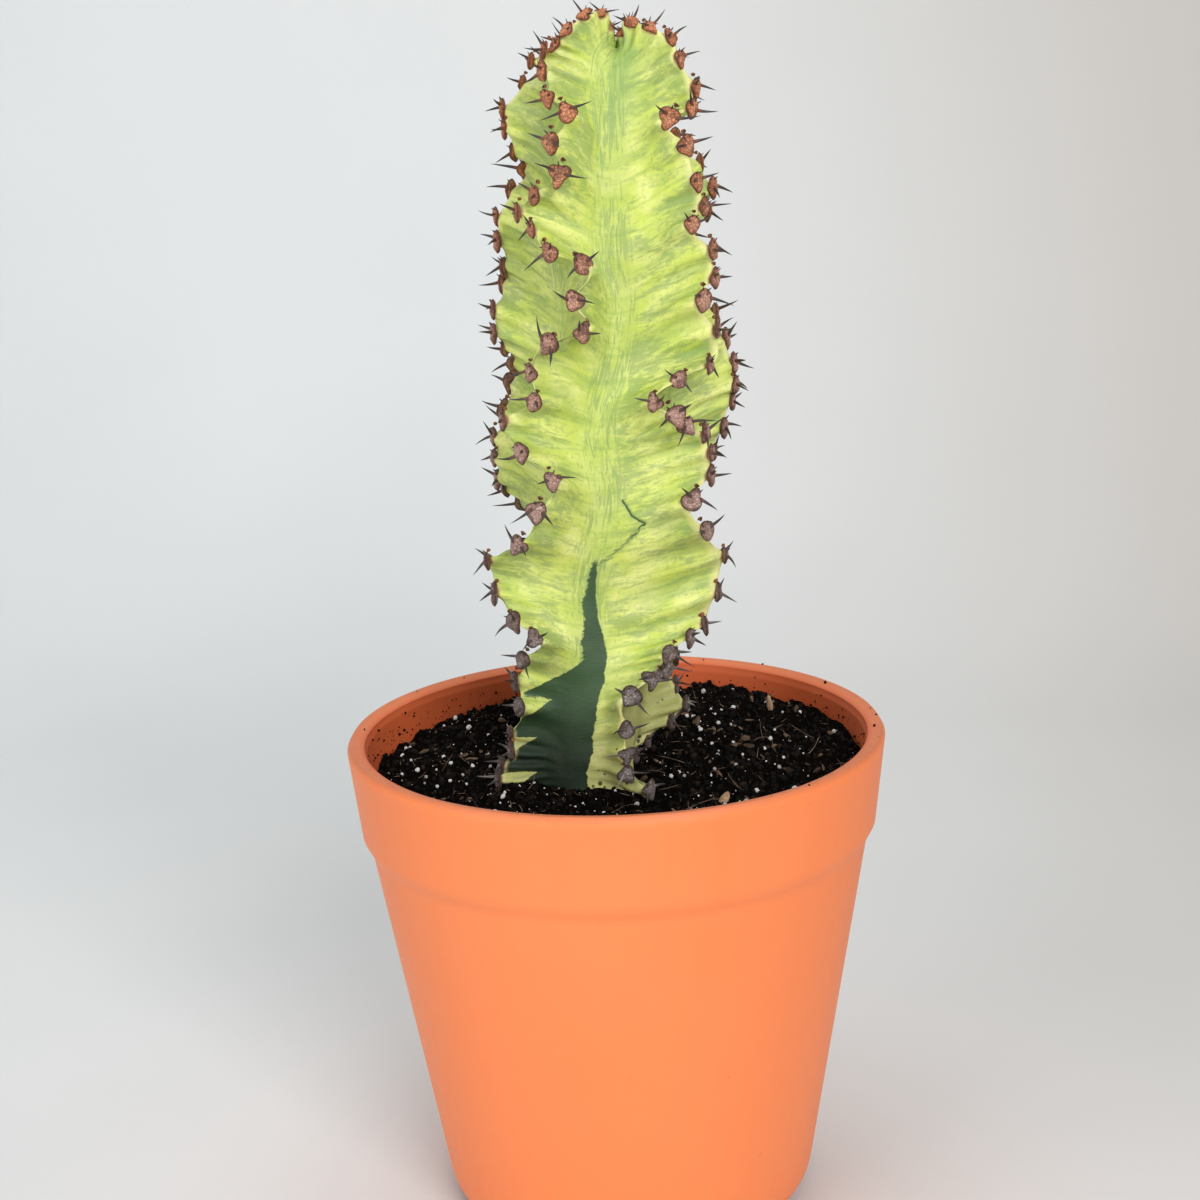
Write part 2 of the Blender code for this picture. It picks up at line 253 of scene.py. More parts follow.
def turned_surface(profile: Array, steps: int) -> Surface:
    """A profile carried round Z: point (r, z) goes to (r cos a, r sin a, z) at each angle a.

    Args:
        profile: (K, 2) of radius and height, running down the outer side, both ends on the axis.
        steps: Number of angles.

    Returns:
        The closed surface, its two ends closed by fans.
    """
    angle = 2 * np.pi * np.arange(steps) / steps
    inner = profile[1:-1]
    ring = np.stack([np.cos(angle), np.sin(angle)], axis=-1)
    plan = inner[:, None, 0:1] * ring[None]
    level = np.broadcast_to(inner[:, None, 1:2], plan.shape[:2] + (1,))
    points = np.concatenate([plan, level], axis=-1).reshape(-1, 3)
    ends = np.array([[0, 0, profile[0, 1]], [0, 0, profile[-1, 1]]])
    count = len(points)
    rows = len(inner)
    quads = grid_faces(rows, steps)[:, ::-1]
    first = np.arange(steps)
    last = first + (rows - 1) * steps
    triangles = np.concatenate([fan_faces(first, count), fan_faces(last[::-1], count + 1)])
    return Surface(np.concatenate([points, ends]), quads, triangles)


def rounded_outline(corners: Sequence[Triple], pitch: float) -> Array:
    """A polyline with each corner replaced by an arc, then spaced evenly.

    Args:
        corners: (radius, height, rounding) for each corner. The rounding is how far from the
            corner the arc starts, along both sides.
        pitch: Distance from one point to the next on the result.

    Returns:
        (K, 2) of radius and height.
    """
    place = np.array([c[:2] for c in corners], float)
    run = [place[:1]]
    for before, here, after, (_, _, cut) in zip(place[:-2], place[1:-1], place[2:], corners[1:-1]):
        share = np.linspace(0, 1, 9)[:, None]
        start = here + unit(before - here) * cut
        end = here + unit(after - here) * cut
        run.append((1 - share) ** 2 * start + 2 * share * (1 - share) * here + share**2 * end)
    run.append(place[-1:])
    points = np.concatenate(run)
    length = np.concatenate([[0], np.cumsum(np.linalg.norm(np.diff(points, axis=0), axis=1))])
    at = np.linspace(0, length[-1], max(2, round(length[-1] / pitch)) + 1)
    merged = np.unique(np.concatenate([at, length]))
    merged = merged[np.concatenate([[True], np.diff(merged) > pitch * 0.15])]
    return np.stack([np.interp(merged, length, points[:, i]) for i in range(2)], axis=-1)


def lump_template(level: int) -> tuple[Array, Array]:
    """A small ball of triangles: an icosahedron, each face cut in four once for each level.

    Args:
        level: 0 for 20 faces, 1 for 80.

    Returns:
        Unit points and the faces' point numbers.
    """
    golden = (1 + math.sqrt(5)) / 2
    points = [(-1, golden, 0), (1, golden, 0), (-1, -golden, 0), (1, -golden, 0)]
    points += [(0, -1, golden), (0, 1, golden), (0, -1, -golden), (0, 1, -golden)]
    points += [(golden, 0, -1), (golden, 0, 1), (-golden, 0, -1), (-golden, 0, 1)]
    faces = [(0, 11, 5), (0, 5, 1), (0, 1, 7), (0, 7, 10), (0, 10, 11), (1, 5, 9), (5, 11, 4)]
    faces += [(11, 10, 2), (10, 7, 6), (7, 1, 8), (3, 9, 4), (3, 4, 2), (3, 2, 6), (3, 6, 8)]
    faces += [(3, 8, 9), (4, 9, 5), (2, 4, 11), (6, 2, 10), (8, 6, 7), (9, 8, 1)]
    at = unit(np.array(points, float))
    for _ in range(level):
        middle: dict[tuple[int, int], int] = {}
        grown = list(at)
        cut = []
        for face in faces:
            halves = []
            for a, b in zip(face, face[1:] + face[:1]):
                key = (min(a, b), max(a, b))
                if key not in middle:
                    middle[key] = len(grown)
                    grown.append(unit(at[a] + at[b]))
                halves.append(middle[key])
            cut += [(face[0], halves[0], halves[2]), (face[1], halves[1], halves[0])]
            cut += [(face[2], halves[2], halves[1]), tuple(halves)]
        at, faces = np.array(grown), cut
    return at, np.array(faces)


def scattered_lumps(
    places: Array,
    sizes: Array,
    squash: Array,
    rng: np.random.Generator,
    level: int,
    rough: float,
) -> Surface:
    """Copies of one small ball, each stretched, turned and roughened its own way.

    Args:
        places: Centres, (N, 3).
        sizes: Radii, (N,).
        squash: Stretch along each own axis, (N, 3).
        rng: Source of the turns and the roughness.
        level: How fine the ball is.
        rough: How far points move in or out, as a share of the radius.

    Returns:
        All lumps as one surface, with a tone of its own from 0 to 1 on each.
    """
    ball, faces = lump_template(level)
    count, corners = len(places), len(ball)
    shape = ball[None] * (1 + rough * rng.uniform(-1, 1, (count, corners, 1)))
    shape = shape * squash[:, None, :] * sizes[:, None, None]
    turn = random_turns(rng, count)
    points = np.einsum("nij,nkj->nki", turn, shape) + places[:, None, :]
    index = faces[None] + (np.arange(count) * corners)[:, None, None]
    tone = np.repeat(rng.random(count), corners)
    return Surface(
        points.reshape(-1, 3), np.zeros((0, 4), int), index.reshape(-1, 3), {"tone": tone}
    )


def random_turns(rng: np.random.Generator, count: int) -> Array:
    """Even random rotation matrices, (count, 3, 3), from unit quaternions."""
    q = unit(rng.normal(size=(count, 4)))
    w, x, y, z = q.T
    rows = [
        [1 - 2 * (y * y + z * z), 2 * (x * y - w * z), 2 * (x * z + w * y)],
        [2 * (x * y + w * z), 1 - 2 * (x * x + z * z), 2 * (y * z - w * x)],
        [2 * (x * z - w * y), 2 * (y * z + w * x), 1 - 2 * (x * x + y * y)],
    ]
    return np.stack([np.stack(row, axis=-1) for row in rows], axis=1)


def bent_spikes(
    roots: Array,
    directions: Array,
    bends: Array,
    lengths: Array,
    radii: Array,
    around: int = 7,
    along: int = 6,
    blunt: float = 0.0,
) -> Surface:
    """Tapering bent rods: centre = root + s L d + s^2 L b, radius = R (1 - s)^0.75 + blunt R.

    Args:
        roots: Where each starts, (N, 3).
        directions: Unit vectors d, (N, 3).
        bends: Sideways vectors b, (N, 3).
        lengths: L, (N,).
        radii: R at the root, (N,).
        around: Sides of each rod.
        along: Rings of each rod.
        blunt: Share of the root's radius that is left at the tip.

    Returns:
        All rods as one closed surface, with along from 0 at the root to 1 at the tip.
    """
    count = len(roots)
    s = np.linspace(0, 1, along)
    centre = (
        roots[:, None] + (s[None, :, None] * lengths[:, None, None]) * directions[:, None]
        + (s[None, :, None] ** 2 * lengths[:, None, None]) * bends[:, None]
    )
    helper = np.where(np.abs(directions[:, 2:3]) < 0.8, [[0.0, 0.0, 1.0]], [[1.0, 0.0, 0.0]])
    side = unit(np.cross(directions, helper))
    up = np.cross(directions, side)
    angle = 2 * np.pi * np.arange(around) / around
    ring = (np.cos(angle)[None, :, None] * side[:, None]
            + np.sin(angle)[None, :, None] * up[:, None])
    radius = radii[:, None] * ((1 - s[None, :-1]) ** 0.75 * (1 - blunt) + blunt)
    body = centre[:, :-1, None, :] + radius[:, :, None, None] * ring[:, None]
    body = body.reshape(count, -1, 3)
    points = np.concatenate([body, centre[:, :1], centre[:, -1:]], axis=1)
    per = points.shape[1]
    quads = grid_faces(along - 1, around)
    ring_index = np.arange(around)
    root_fan = fan_faces(ring_index[::-1], per - 2)
    tip_fan = fan_faces(ring_index + (along - 2) * around, per - 1)
    shift = np.arange(count) * per
    share = np.concatenate([np.repeat(s[:-1], around), [0.0, 1.0]])
    return Surface(
        points.reshape(-1, 3),
        (quads[None] + shift[:, None, None]).reshape(-1, 4),
        (np.concatenate([root_fan, tip_fan])[None] + shift[:, None, None]).reshape(-1, 3),
        {"along": np.tile(share, count)},
    )


# ---- shader building ----


class Shade:
    """Short ways to put nodes into one tree. Each method returns the new node's output."""

    def __init__(self, tree: bpy.types.NodeTree) -> None:
        """Keep the tree that the nodes go into."""
        self.tree = tree

    def node(self, kind: str, inputs: Optional[dict] = None, **settings) -> bpy.types.Node:
        """Add a node of this kind, set its properties, and feed its inputs by name or number."""
        made = self.tree.nodes.new(kind)
        for key, value in settings.items():
            setattr(made, key, value)
        for key, value in (inputs or {}).items():
            self.feed(made.inputs[key], value)
        return made

    def feed(self, socket: Socket, value) -> None:
        """Connect an output to a socket, or set the socket's own value."""
        if isinstance(value, Socket):
            self.tree.links.new(value, socket)
        elif isinstance(value, tuple) and len(value) == 3 and socket.type == "RGBA":
            socket.default_value = (*value, 1.0)
        else:
            socket.default_value = value

    def math(self, operation: str, a, b=0.0, c=0.0, clamp: bool = False) -> Socket:
        """A Math node of the named operation."""
        return self.node(
            "ShaderNodeMath", {0: a, 1: b, 2: c}, operation=operation, use_clamp=clamp
        ).outputs[0]

    def times(self, a, b, clamp: bool = False) -> Socket:
        """The product of two numbers."""
        return self.math("MULTIPLY", a, b, clamp=clamp)

    def plus(self, a, b, clamp: bool = False) -> Socket:
        """The sum of two numbers."""
        return self.math("ADD", a, b, clamp=clamp)

    def minus(self, a, b) -> Socket:
        """The first number less the second."""
        return self.math("SUBTRACT", a, b)

    def vectors(self, operation: str, inputs: dict, output: str = "Vector") -> Socket:
        """A Vector Math node of the named operation."""
        return self.node("ShaderNodeVectorMath", inputs, operation=operation).outputs[output]

    def mix(self, share, a, b) -> Socket:
        """A blend of two colours: a where share is 0 and b where it is 1."""
        made = self.node("ShaderNodeMix", data_type="RGBA", clamp_factor=True)
        self.feed(made.inputs["Factor"], share)
        self.feed(made.inputs[6], a)
        self.feed(made.inputs[7], b)
        return made.outputs[2]

    def tint(self, colour, paint, mask, strength: float) -> Socket:
        """A colour moved towards a paint by a mask of the given strength."""
        return self.mix(self.times(mask, strength), colour, paint)

    def between(self, value, low, high, to_low=0.0, to_high=1.0, smooth: bool = True) -> Socket:
        """Map a value's stretch low..high onto to_low..to_high, held at both ends."""
        return self.node(
            "ShaderNodeMapRange",
            {0: value, 1: low, 2: high, 3: to_low, 4: to_high},
            interpolation_type="SMOOTHSTEP" if smooth else "LINEAR",
        ).outputs[0]

    def noise(self, vector, scale, detail=3.0, roughness=0.55, distortion=0.0) -> Socket:
        """Fractal noise from 0 to 1."""
        return self.node(
            "ShaderNodeTexNoise",
            {"Vector": vector, "Scale": scale, "Detail": detail,
             "Roughness": roughness, "Distortion": distortion},
        ).outputs[0]

    def stretched(self, vector, scale: Triple, move=(0.0, 0.0, 0.0)) -> Socket:
        """A vector scaled and shifted along each axis by a Mapping node."""
        return self.node(
            "ShaderNodeMapping", {"Vector": vector, "Scale": scale, "Location": move}
        ).outputs[0]

    def attribute(self, name: str) -> Socket:
        """The number painted on the mesh under this name."""
        return self.node("ShaderNodeAttribute", attribute_name=name).outputs["Fac"]

    def place(self) -> Socket:
        """Object coordinates, in metres."""
        return self.node("ShaderNodeTexCoord").outputs["Object"]

    def ramp(self, value, stops: Sequence[tuple[float, Triple]]) -> Socket:
        """A colour ramp through (place, colour) stops."""
        made = self.node("ShaderNodeValToRGB", {0: value})
        ramp = made.color_ramp
        while len(ramp.elements) < len(stops):
            ramp.elements.new(0.5)
        for element, (at, colour) in zip(ramp.elements, stops):
            element.position = at
            element.color = (*colour, 1.0)
        return made.outputs["Color"]

    def group(self, name: str, inputs: dict, output: str) -> Socket:
        """Place a shared group with its own input values."""
        tree = bpy.data.node_groups[name]
        return self.node("ShaderNodeGroup", inputs, node_tree=tree).outputs[output]

    def spots(self, vector, scale: float, amount, size: float) -> Socket:
        """Spots from the speckle group."""
        inputs = {"Vector": vector, "Scale": scale, "Amount": amount, "Size": size}
        return self.group("speckle", inputs, "Mask")

    def clouds(self, vector, scale: float, contrast: float, detail: float = 4.0) -> Socket:
        """Cloudy variation from the mottle group."""
        inputs = {"Vector": vector, "Scale": scale, "Contrast": contrast, "Detail": detail}
        return self.group("mottle", inputs, "Value")

    def bump(self, height, strength: float, distance: float, under=None) -> Socket:
        """A normal from a height, on top of another normal if one is given."""
        inputs = {"Height": height, "Strength": strength, "Distance": distance}
        if under is not None:
            inputs["Normal"] = under
        return self.node("ShaderNodeBump", inputs).outputs[0]


def new_group(name: str, inputs: dict[str, float], output: str) -> tuple:
    """Start a shader node group with a Vector input.

    Args:
        name: The group's name.
        inputs: Name and default of each number that it takes.
        output: Name of the one number that it gives.

    Returns:
        The group's builder, its input sockets and its output socket.
    """
    tree = bpy.data.node_groups.new(name, "ShaderNodeTree")
    tree.interface.new_socket(name="Vector", in_out="INPUT", socket_type="NodeSocketVector")
    for label, default in inputs.items():
        made = tree.interface.new_socket(name=label, in_out="INPUT", socket_type="NodeSocketFloat")
        made.default_value = default
    tree.interface.new_socket(name=output, in_out="OUTPUT", socket_type="NodeSocketFloat")
    source = tree.nodes.new("NodeGroupInput").outputs
    return Shade(tree), source, tree.nodes.new("NodeGroupOutput").inputs[output]


def speckle_group() -> None:
    """Make the spots: 1 within a random share of cells, near each cell's middle, else 0."""
    defaults = {"Scale": 400.0, "Amount": 0.2, "Size": 0.3}
    shade, source, sink = new_group("speckle", defaults, "Mask")
    cells = shade.node(
        "ShaderNodeTexVoronoi",
        {"Vector": source["Vector"], "Scale": source["Scale"], "Randomness": 1.0},
    )
    chosen = shade.node("ShaderNodeSeparateColor", {0: cells.outputs["Color"]})
    present = shade.math("LESS_THAN", chosen.outputs[0], source["Amount"])
    size = shade.times(source["Size"],
                      shade.between(chosen.outputs[1], 0.0, 1.0, 0.45, 1.0, False))
    wobble = shade.minus(shade.noise(source["Vector"], 2600.0, 2.0), 0.5)
    ragged = shade.plus(cells.outputs["Distance"], shade.times(wobble, 0.25))
    inside = shade.minus(size, ragged)
    spot = shade.times(shade.between(inside, 0.0, 0.06), present)
    shade.feed(sink, spot)


def mottle_group() -> None:
    """Make the cloudy variation: fractal noise pushed towards its ends by a contrast."""
    defaults = {"Scale": 40.0, "Contrast": 1.5, "Detail": 4.0}
    shade, source, sink = new_group("mottle", defaults, "Value")
    cloud = shade.noise(source["Vector"], source["Scale"], source["Detail"], 0.6)
    pushed = shade.math("MULTIPLY_ADD", shade.minus(cloud, 0.5),
                        source["Contrast"], 0.5, clamp=True)
    shade.feed(sink, pushed)


def start_material(name: str, constants: dict[str, float]) -> tuple[Material, Shade]:
    """A new material, its shader's own sockets set to constants, and a builder for its tree."""
    made = bpy.data.materials.new(name)
    made.use_nodes = True
    shader = made.node_tree.nodes["Principled BSDF"]
    for label, value in constants.items():
        shader.inputs[label].default_value = value
    return made, Shade(made.node_tree)


def finish_material(made: Material, shade: Shade, **outputs) -> Material:
    """Connect outputs to the Principled shader's sockets, named with _ for a space."""
    shader = made.node_tree.nodes["Principled BSDF"]
    for label, value in outputs.items():
        shade.feed(shader.inputs[label.replace("_", " ")], value)
    return made


# ---- sizes that the pieces share ----


@dataclass(frozen=True)
class Layout:
    """Levels and radii read from the frame's boxes, in metres."""

    rim_height: float
    rim_radius: float
    soil_level: float

    ROOT_DEPTH = 28.0 * MM

    @classmethod
    def from_frame(cls) -> "Layout":
        """Read the pot's rim from its box, and the soil's level from the stem's buried foot."""
        _, pot_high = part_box("pot")
        stem_low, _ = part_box("cactus_stem")
        return cls(pot_high.z, pot_high.x, stem_low.z + cls.ROOT_DEPTH)


# ---- pot ----


@dataclass(frozen=True)
class PotPlastic:
    """Bright orange moulded plastic: nearly even colour, fine grain, dust and small scuffs."""

    rim_height: float
    colour: Triple = (0.93, 0.235, 0.072)
    paler: Triple = (0.95, 0.29, 0.105)
    deeper: Triple = (0.84, 0.185, 0.05)
    # Colour of the inside: painted shade, darker than the outer wall.
    inside: Triple = (0.50, 0.085, 0.022)

    def material(self) -> Material:
        """Even orange, a darker inside and a darker rim top as painted shade, scuffs low on the
        wall and soil dust inside just under the rim.
        """
        made, shade = start_material("pot_plastic", {"IOR": 1.46, "Specular IOR Level": 0.42})
        place = shade.place()
        axes = shade.node("ShaderNodeSeparateXYZ", {0: place})
        height = axes.outputs[2]
        clouds = shade.clouds(place, 14.0, 1.3)
        fine = shade.clouds(place, 210.0, 1.6)
        colour = shade.mix(shade.times(clouds, 0.45), self.colour, self.paler)
        streak = shade.noise(shade.stretched(place, (60.0, 60.0, 4.0)), 1.0, 3.0)
        colour = shade.mix(shade.between(streak, 0.55, 0.8, 0.0, 0.16), colour, self.deeper)
        colour = shade.tint(colour, self.deeper, fine, 0.08)
        inner = shade.attribute("inside")
        # The inside is painted darker: painted shade under the rim.
        colour = shade.mix(inner, colour, shade.mix(clouds, self.inside, (0.62, 0.12, 0.035)))
        rim = shade.attribute("rim_top")
        # The rim top is painted darker and duller: painted shade on its upward face, varied by the
        # fine clouds.
        shaded_rim_top = shade.mix(fine, (0.50, 0.135, 0.055), (0.62, 0.19, 0.085))
        colour = shade.tint(colour, shaded_rim_top, rim, 0.8)
        specks = shade.spots(place, 130.0, 0.05, 0.09)
        colour = shade.tint(colour, (0.26, 0.06, 0.025), specks, 0.75)
        low = shade.between(height, 0.09, 0.02)
        pits = shade.spots(place, 90.0, shade.times(low, 0.10), 0.12)
        colour = shade.tint(colour, (0.66, 0.13, 0.045), pits, 0.55)
        scuff = shade.noise(shade.stretched(place, (22.0, 22.0, 160.0)), 1.0, 5.0, 0.7, 1.2)
        scuff = shade.times(shade.between(scuff, 0.66, 0.72), low)
        colour = shade.tint(colour, (1.0, 0.45, 0.24), scuff, 0.35)
        soil_dust = shade.spots(place, 520.0, 0.35, 0.33)
        soil_dust = shade.times(soil_dust, shade.times(inner, shade.between(
            height, self.rim_height - 0.004, self.rim_height - 0.011)))
        colour = shade.tint(colour, (0.02, 0.015, 0.012), soil_dust, 0.85)
        grain = shade.noise(place, 2300.0, 2.0)
        soft = shade.noise(place, 120.0, 2.0)
        normal = shade.bump(soft, 0.10, 0.0006)
        normal = shade.bump(grain, 0.10, 0.00008, normal)
        normal = shade.bump(shade.minus(scuff, pits), 0.25, 0.0001, normal)
        rough = shade.between(fine, 0.0, 1.0, 0.43, 0.52, False)
        rough = shade.plus(rough, shade.times(rim, 0.14))
        rough = shade.plus(rough, shade.times(inner, 0.12), clamp=True)
        return finish_material(made, shade, Base_Color=colour, Roughness=rough, Normal=normal)


@dataclass
class PlasticPot:
    """The tapered pot with its plain band, in metres."""

    layout: Layout
    rim_wall: float = 6.3 * MM
    rim_round: float = 1.5 * MM
    band_height: float = 32.7 * MM
    band_foot_radius: float = 91.2 * MM
    band_step: float = 4.5 * MM
    wall_top_radius: float = 88.4 * MM
    wall_slope: float = 0.171
    corner_cut: float = 13.0 * MM
    foot_ring: float = 6.0 * MM
    foot_recess: float = 1.5 * MM
    wall: float = 3.0 * MM
    ledge_depth: float = 3.5 * MM
    ledge_width: float = 0.7 * MM
    drain_holes: int = 4
    drain_radius: float = 4.0 * MM
    drain_circle: float = 30.0 * MM
    steps: int = 320
    pitch: float = 2.4 * MM

    @property
    def band_foot(self) -> float:
        """Height where the wall below the band begins."""
        return self.layout.rim_height - self.band_height - self.band_step

    def wall_radius(self, height: float) -> float:
        """Outer radius of the wall below the band."""
        return self.wall_top_radius - self.wall_slope * (self.band_foot - height)

    def inner_radius(self, height: float) -> float:
        """Radius of the inside, following the wall and then the thicker band."""
        if height < self.band_foot:
            return self.wall_radius(height) - self.wall
        ledge = self.layout.rim_height - self.ledge_depth
        share = (height - self.band_foot) / (ledge - self.band_foot)
        start = self.wall_top_radius - self.wall
        end = self.layout.rim_radius - self.rim_wall - self.ledge_width
        return start + share * (end - start)

    def outline(self) -> Array:
        """The turned outline: up the inside, over the rim, down the outside, under the foot."""
        top = self.layout.rim_height
        rim = self.layout.rim_radius
        inside = rim - self.rim_wall
        floor = self.foot_recess + self.wall
        foot = self.wall_radius(0.0)
        ring = foot - self.corner_cut - self.foot_ring
        corners = [
            (0.0, floor, 0.0),
            (self.wall_radius(floor) - self.wall, floor, self.corner_cut - self.wall),
            (self.inner_radius(self.band_foot), self.band_foot, 4 * MM),
            (inside - self.ledge_width, top - self.ledge_depth, 0.25 * MM),
            (inside, top - self.ledge_depth + self.ledge_width, 0.3 * MM),
            (inside, top, self.rim_round),
            (rim, top, self.rim_round),
            (self.band_foot_radius, top - self.band_height, 0.5 * MM),
            (self.wall_top_radius, self.band_foot, 2.2 * MM),
            (foot, 0.0, self.corner_cut),
            (ring, 0.0, 0.6 * MM),
            (ring - self.foot_recess, self.foot_recess, 0.6 * MM),
            (0.0, self.foot_recess, 0.0),
        ]
        return rounded_outline(corners, self.pitch)

    def surface(self) -> Surface:
        """The turned shell, very slightly out of round, with its inside and rim top marked."""
        outline = self.outline()
        made = turned_surface(outline, self.steps)
        points = made.points
        bearing = np.arctan2(points[:, 1], points[:, 0])
        radius = np.hypot(points[:, 0], points[:, 1])
        lift = smoothstep(points[:, 2], 0.0, self.layout.rim_height)
        swell = 1.0 + 0.0011 * lift * np.cos(2 * bearing + 0.6) - 0.0011 * lift
        points[:, :2] *= swell[:, None]
        top, rim, level = self.layout.rim_height, self.layout.rim_radius, points[:, 2]
        middle = np.interp(
            level, [0.0, self.band_foot, top], [self.wall_radius(0.0), self.wall_top_radius, rim]
        )
        inside = (radius < middle - 1.6 * MM) & (level > self.foot_recess + 1 * MM)
        inside = inside & (level < top - 0.8 * MM)
        made.values["inside"] = inside * (1.0 - smoothstep(level, top - 1.6 * MM, top - 0.6 * MM))
        on_rim = (radius < rim - 0.4 * MM) & (radius > rim - self.rim_wall - 1 * MM)
        made.values["rim_top"] = smoothstep(level, top - 0.9 * MM, top - 0.1 * MM) * on_rim
        return made

    def build(self, plastic: Material) -> bpy.types.Object:
        """Make the pot, with its drain holes cut through the floor."""
        pot = add_piece("pot_shell", self.surface(), plastic, ["pot"])
        cutters = []
        for number in range(self.drain_holes):
            angle = 2 * math.pi * (number + 0.5) / self.drain_holes
            place = (self.drain_circle * math.cos(angle), self.drain_circle * math.sin(angle))
            bpy.ops.mesh.primitive_cylinder_add(
                vertices=32, radius=self.drain_radius, depth=18 * MM,
                location=(*place, self.foot_recess),
            )
            cutter = bpy.context.object
            cut = pot.modifiers.new(f"drain_{number + 1}", "BOOLEAN")
            cut.object = cutter
            cutters.append(cutter)
        graph = bpy.context.evaluated_depsgraph_get()
        drilled = bpy.data.meshes.new_from_object(
            pot.evaluated_get(graph), preserve_all_data_layers=True, depsgraph=graph
        )
        pot.modifiers.clear()
        pot.data = drilled
        drilled.shade_smooth()
        drilled.set_sharp_from_angle(angle=math.radians(50))
        for cutter in cutters:
            bpy.data.objects.remove(cutter)
        return pot


# ---- soil ----


@dataclass(frozen=True)
class Peat:
    """Near-black moist peat, browner where it is dry."""

    def material(self) -> Material:
        """Build the bed's material, with crumb bump and a few pale salts."""
        made, shade = start_material("peat", {"Specular IOR Level": 0.0})
        place = shade.place()
        clouds = shade.clouds(place, 95.0, 2.2)
        fine = shade.clouds(place, 800.0, 2.0)
        colour = shade.mix(clouds, (0.0016, 0.0014, 0.0013), (0.0042, 0.0034, 0.0029))
        colour = shade.tint(colour, (0.009, 0.0065, 0.005), fine, 0.5)
        salts = shade.spots(place, 620.0, 0.05, 0.22)
        colour = shade.tint(colour, (0.30, 0.28, 0.25), salts, 0.7)
        height = shade.plus(shade.noise(place, 700.0, 4.0, 0.65),
                            shade.times(shade.noise(place, 2400.0, 2.0), 0.4))
        normal = shade.bump(height, 0.9, 0.0009)
        return finish_material(made, shade, Base_Color=colour, Roughness=0.82, Normal=normal)

    def crumb_material(self) -> Material:
        """Build the loose crumbs' material: each crumb has its own tone."""
        made, shade = start_material("peat_crumbs", {"Specular IOR Level": 0.05})
        place = shade.place()
        tone = shade.attribute("tone")
        colour = shade.ramp(tone, [
            (0.0, (0.0012, 0.0011, 0.0010)), (0.60, (0.0030, 0.0025, 0.0022)),
            (0.90, (0.0075, 0.0055, 0.0042)), (0.985, (0.032, 0.019, 0.011)),
        ])
        fine = shade.clouds(place, 1500.0, 1.8)
        colour = shade.tint(colour, (0.016, 0.012, 0.010), fine, 0.5)
        normal = shade.bump(shade.noise(place, 1900.0, 3.0), 0.7, 0.0004)
        return finish_material(made, shade, Base_Color=colour, Roughness=0.8, Normal=normal)


@dataclass(frozen=True)
class PalePieces:
    """Perlite, bark and fibres: small light pieces in the soil."""

    def perlite(self) -> Material:
        """White expanded grains with dirty pores."""
        made, shade = start_material("perlite", {"Specular IOR Level": 0.3})
        place = shade.place()
        tone = shade.attribute("tone")
        pores = shade.clouds(place, 1600.0, 2.4)
        colour = shade.mix(pores, (0.50, 0.48, 0.45), (0.83, 0.82, 0.80))
        colour = shade.mix(shade.between(tone, 0.55, 1.0, 0.0, 0.75), colour, (0.26, 0.23, 0.20))
        normal = shade.bump(pores, 0.8, 0.0003)
        return finish_material(made, shade, Base_Color=colour, Roughness=0.9, Normal=normal)

    def bark(self) -> Material:
        """Dry bark: long grain, brown to tan."""
        made, shade = start_material("bark", {"Specular IOR Level": 0.25})
        place = shade.place()
        tone = shade.attribute("tone")
        grain = shade.noise(shade.stretched(place, (500.0, 1600.0, 1600.0)), 1.0, 4.0, 0.6, 0.4)
        dark = shade.mix(tone, (0.030, 0.017, 0.010), (0.30, 0.17, 0.095))
        light = shade.mix(tone, (0.070, 0.040, 0.024), (0.52, 0.34, 0.21))
        colour = shade.mix(shade.between(grain, 0.35, 0.65), dark, light)
        normal = shade.bump(grain, 0.8, 0.0004)
        return finish_material(made, shade, Base_Color=colour, Roughness=0.85, Normal=normal)

    def fibre(self) -> Material:
        """Thin roots and fibres, tan towards their tips."""
        made, shade = start_material("soil_fibres", {"Specular IOR Level": 0.3})
        along = shade.attribute("along")
        stain = shade.clouds(shade.place(), 260.0, 2.6)
        colour = shade.mix(stain, (0.035, 0.022, 0.014), (0.22, 0.14, 0.085))
        colour = shade.tint(colour, (0.30, 0.21, 0.13), along, 0.3)
        return finish_material(made, shade, Base_Color=colour, Roughness=0.8)


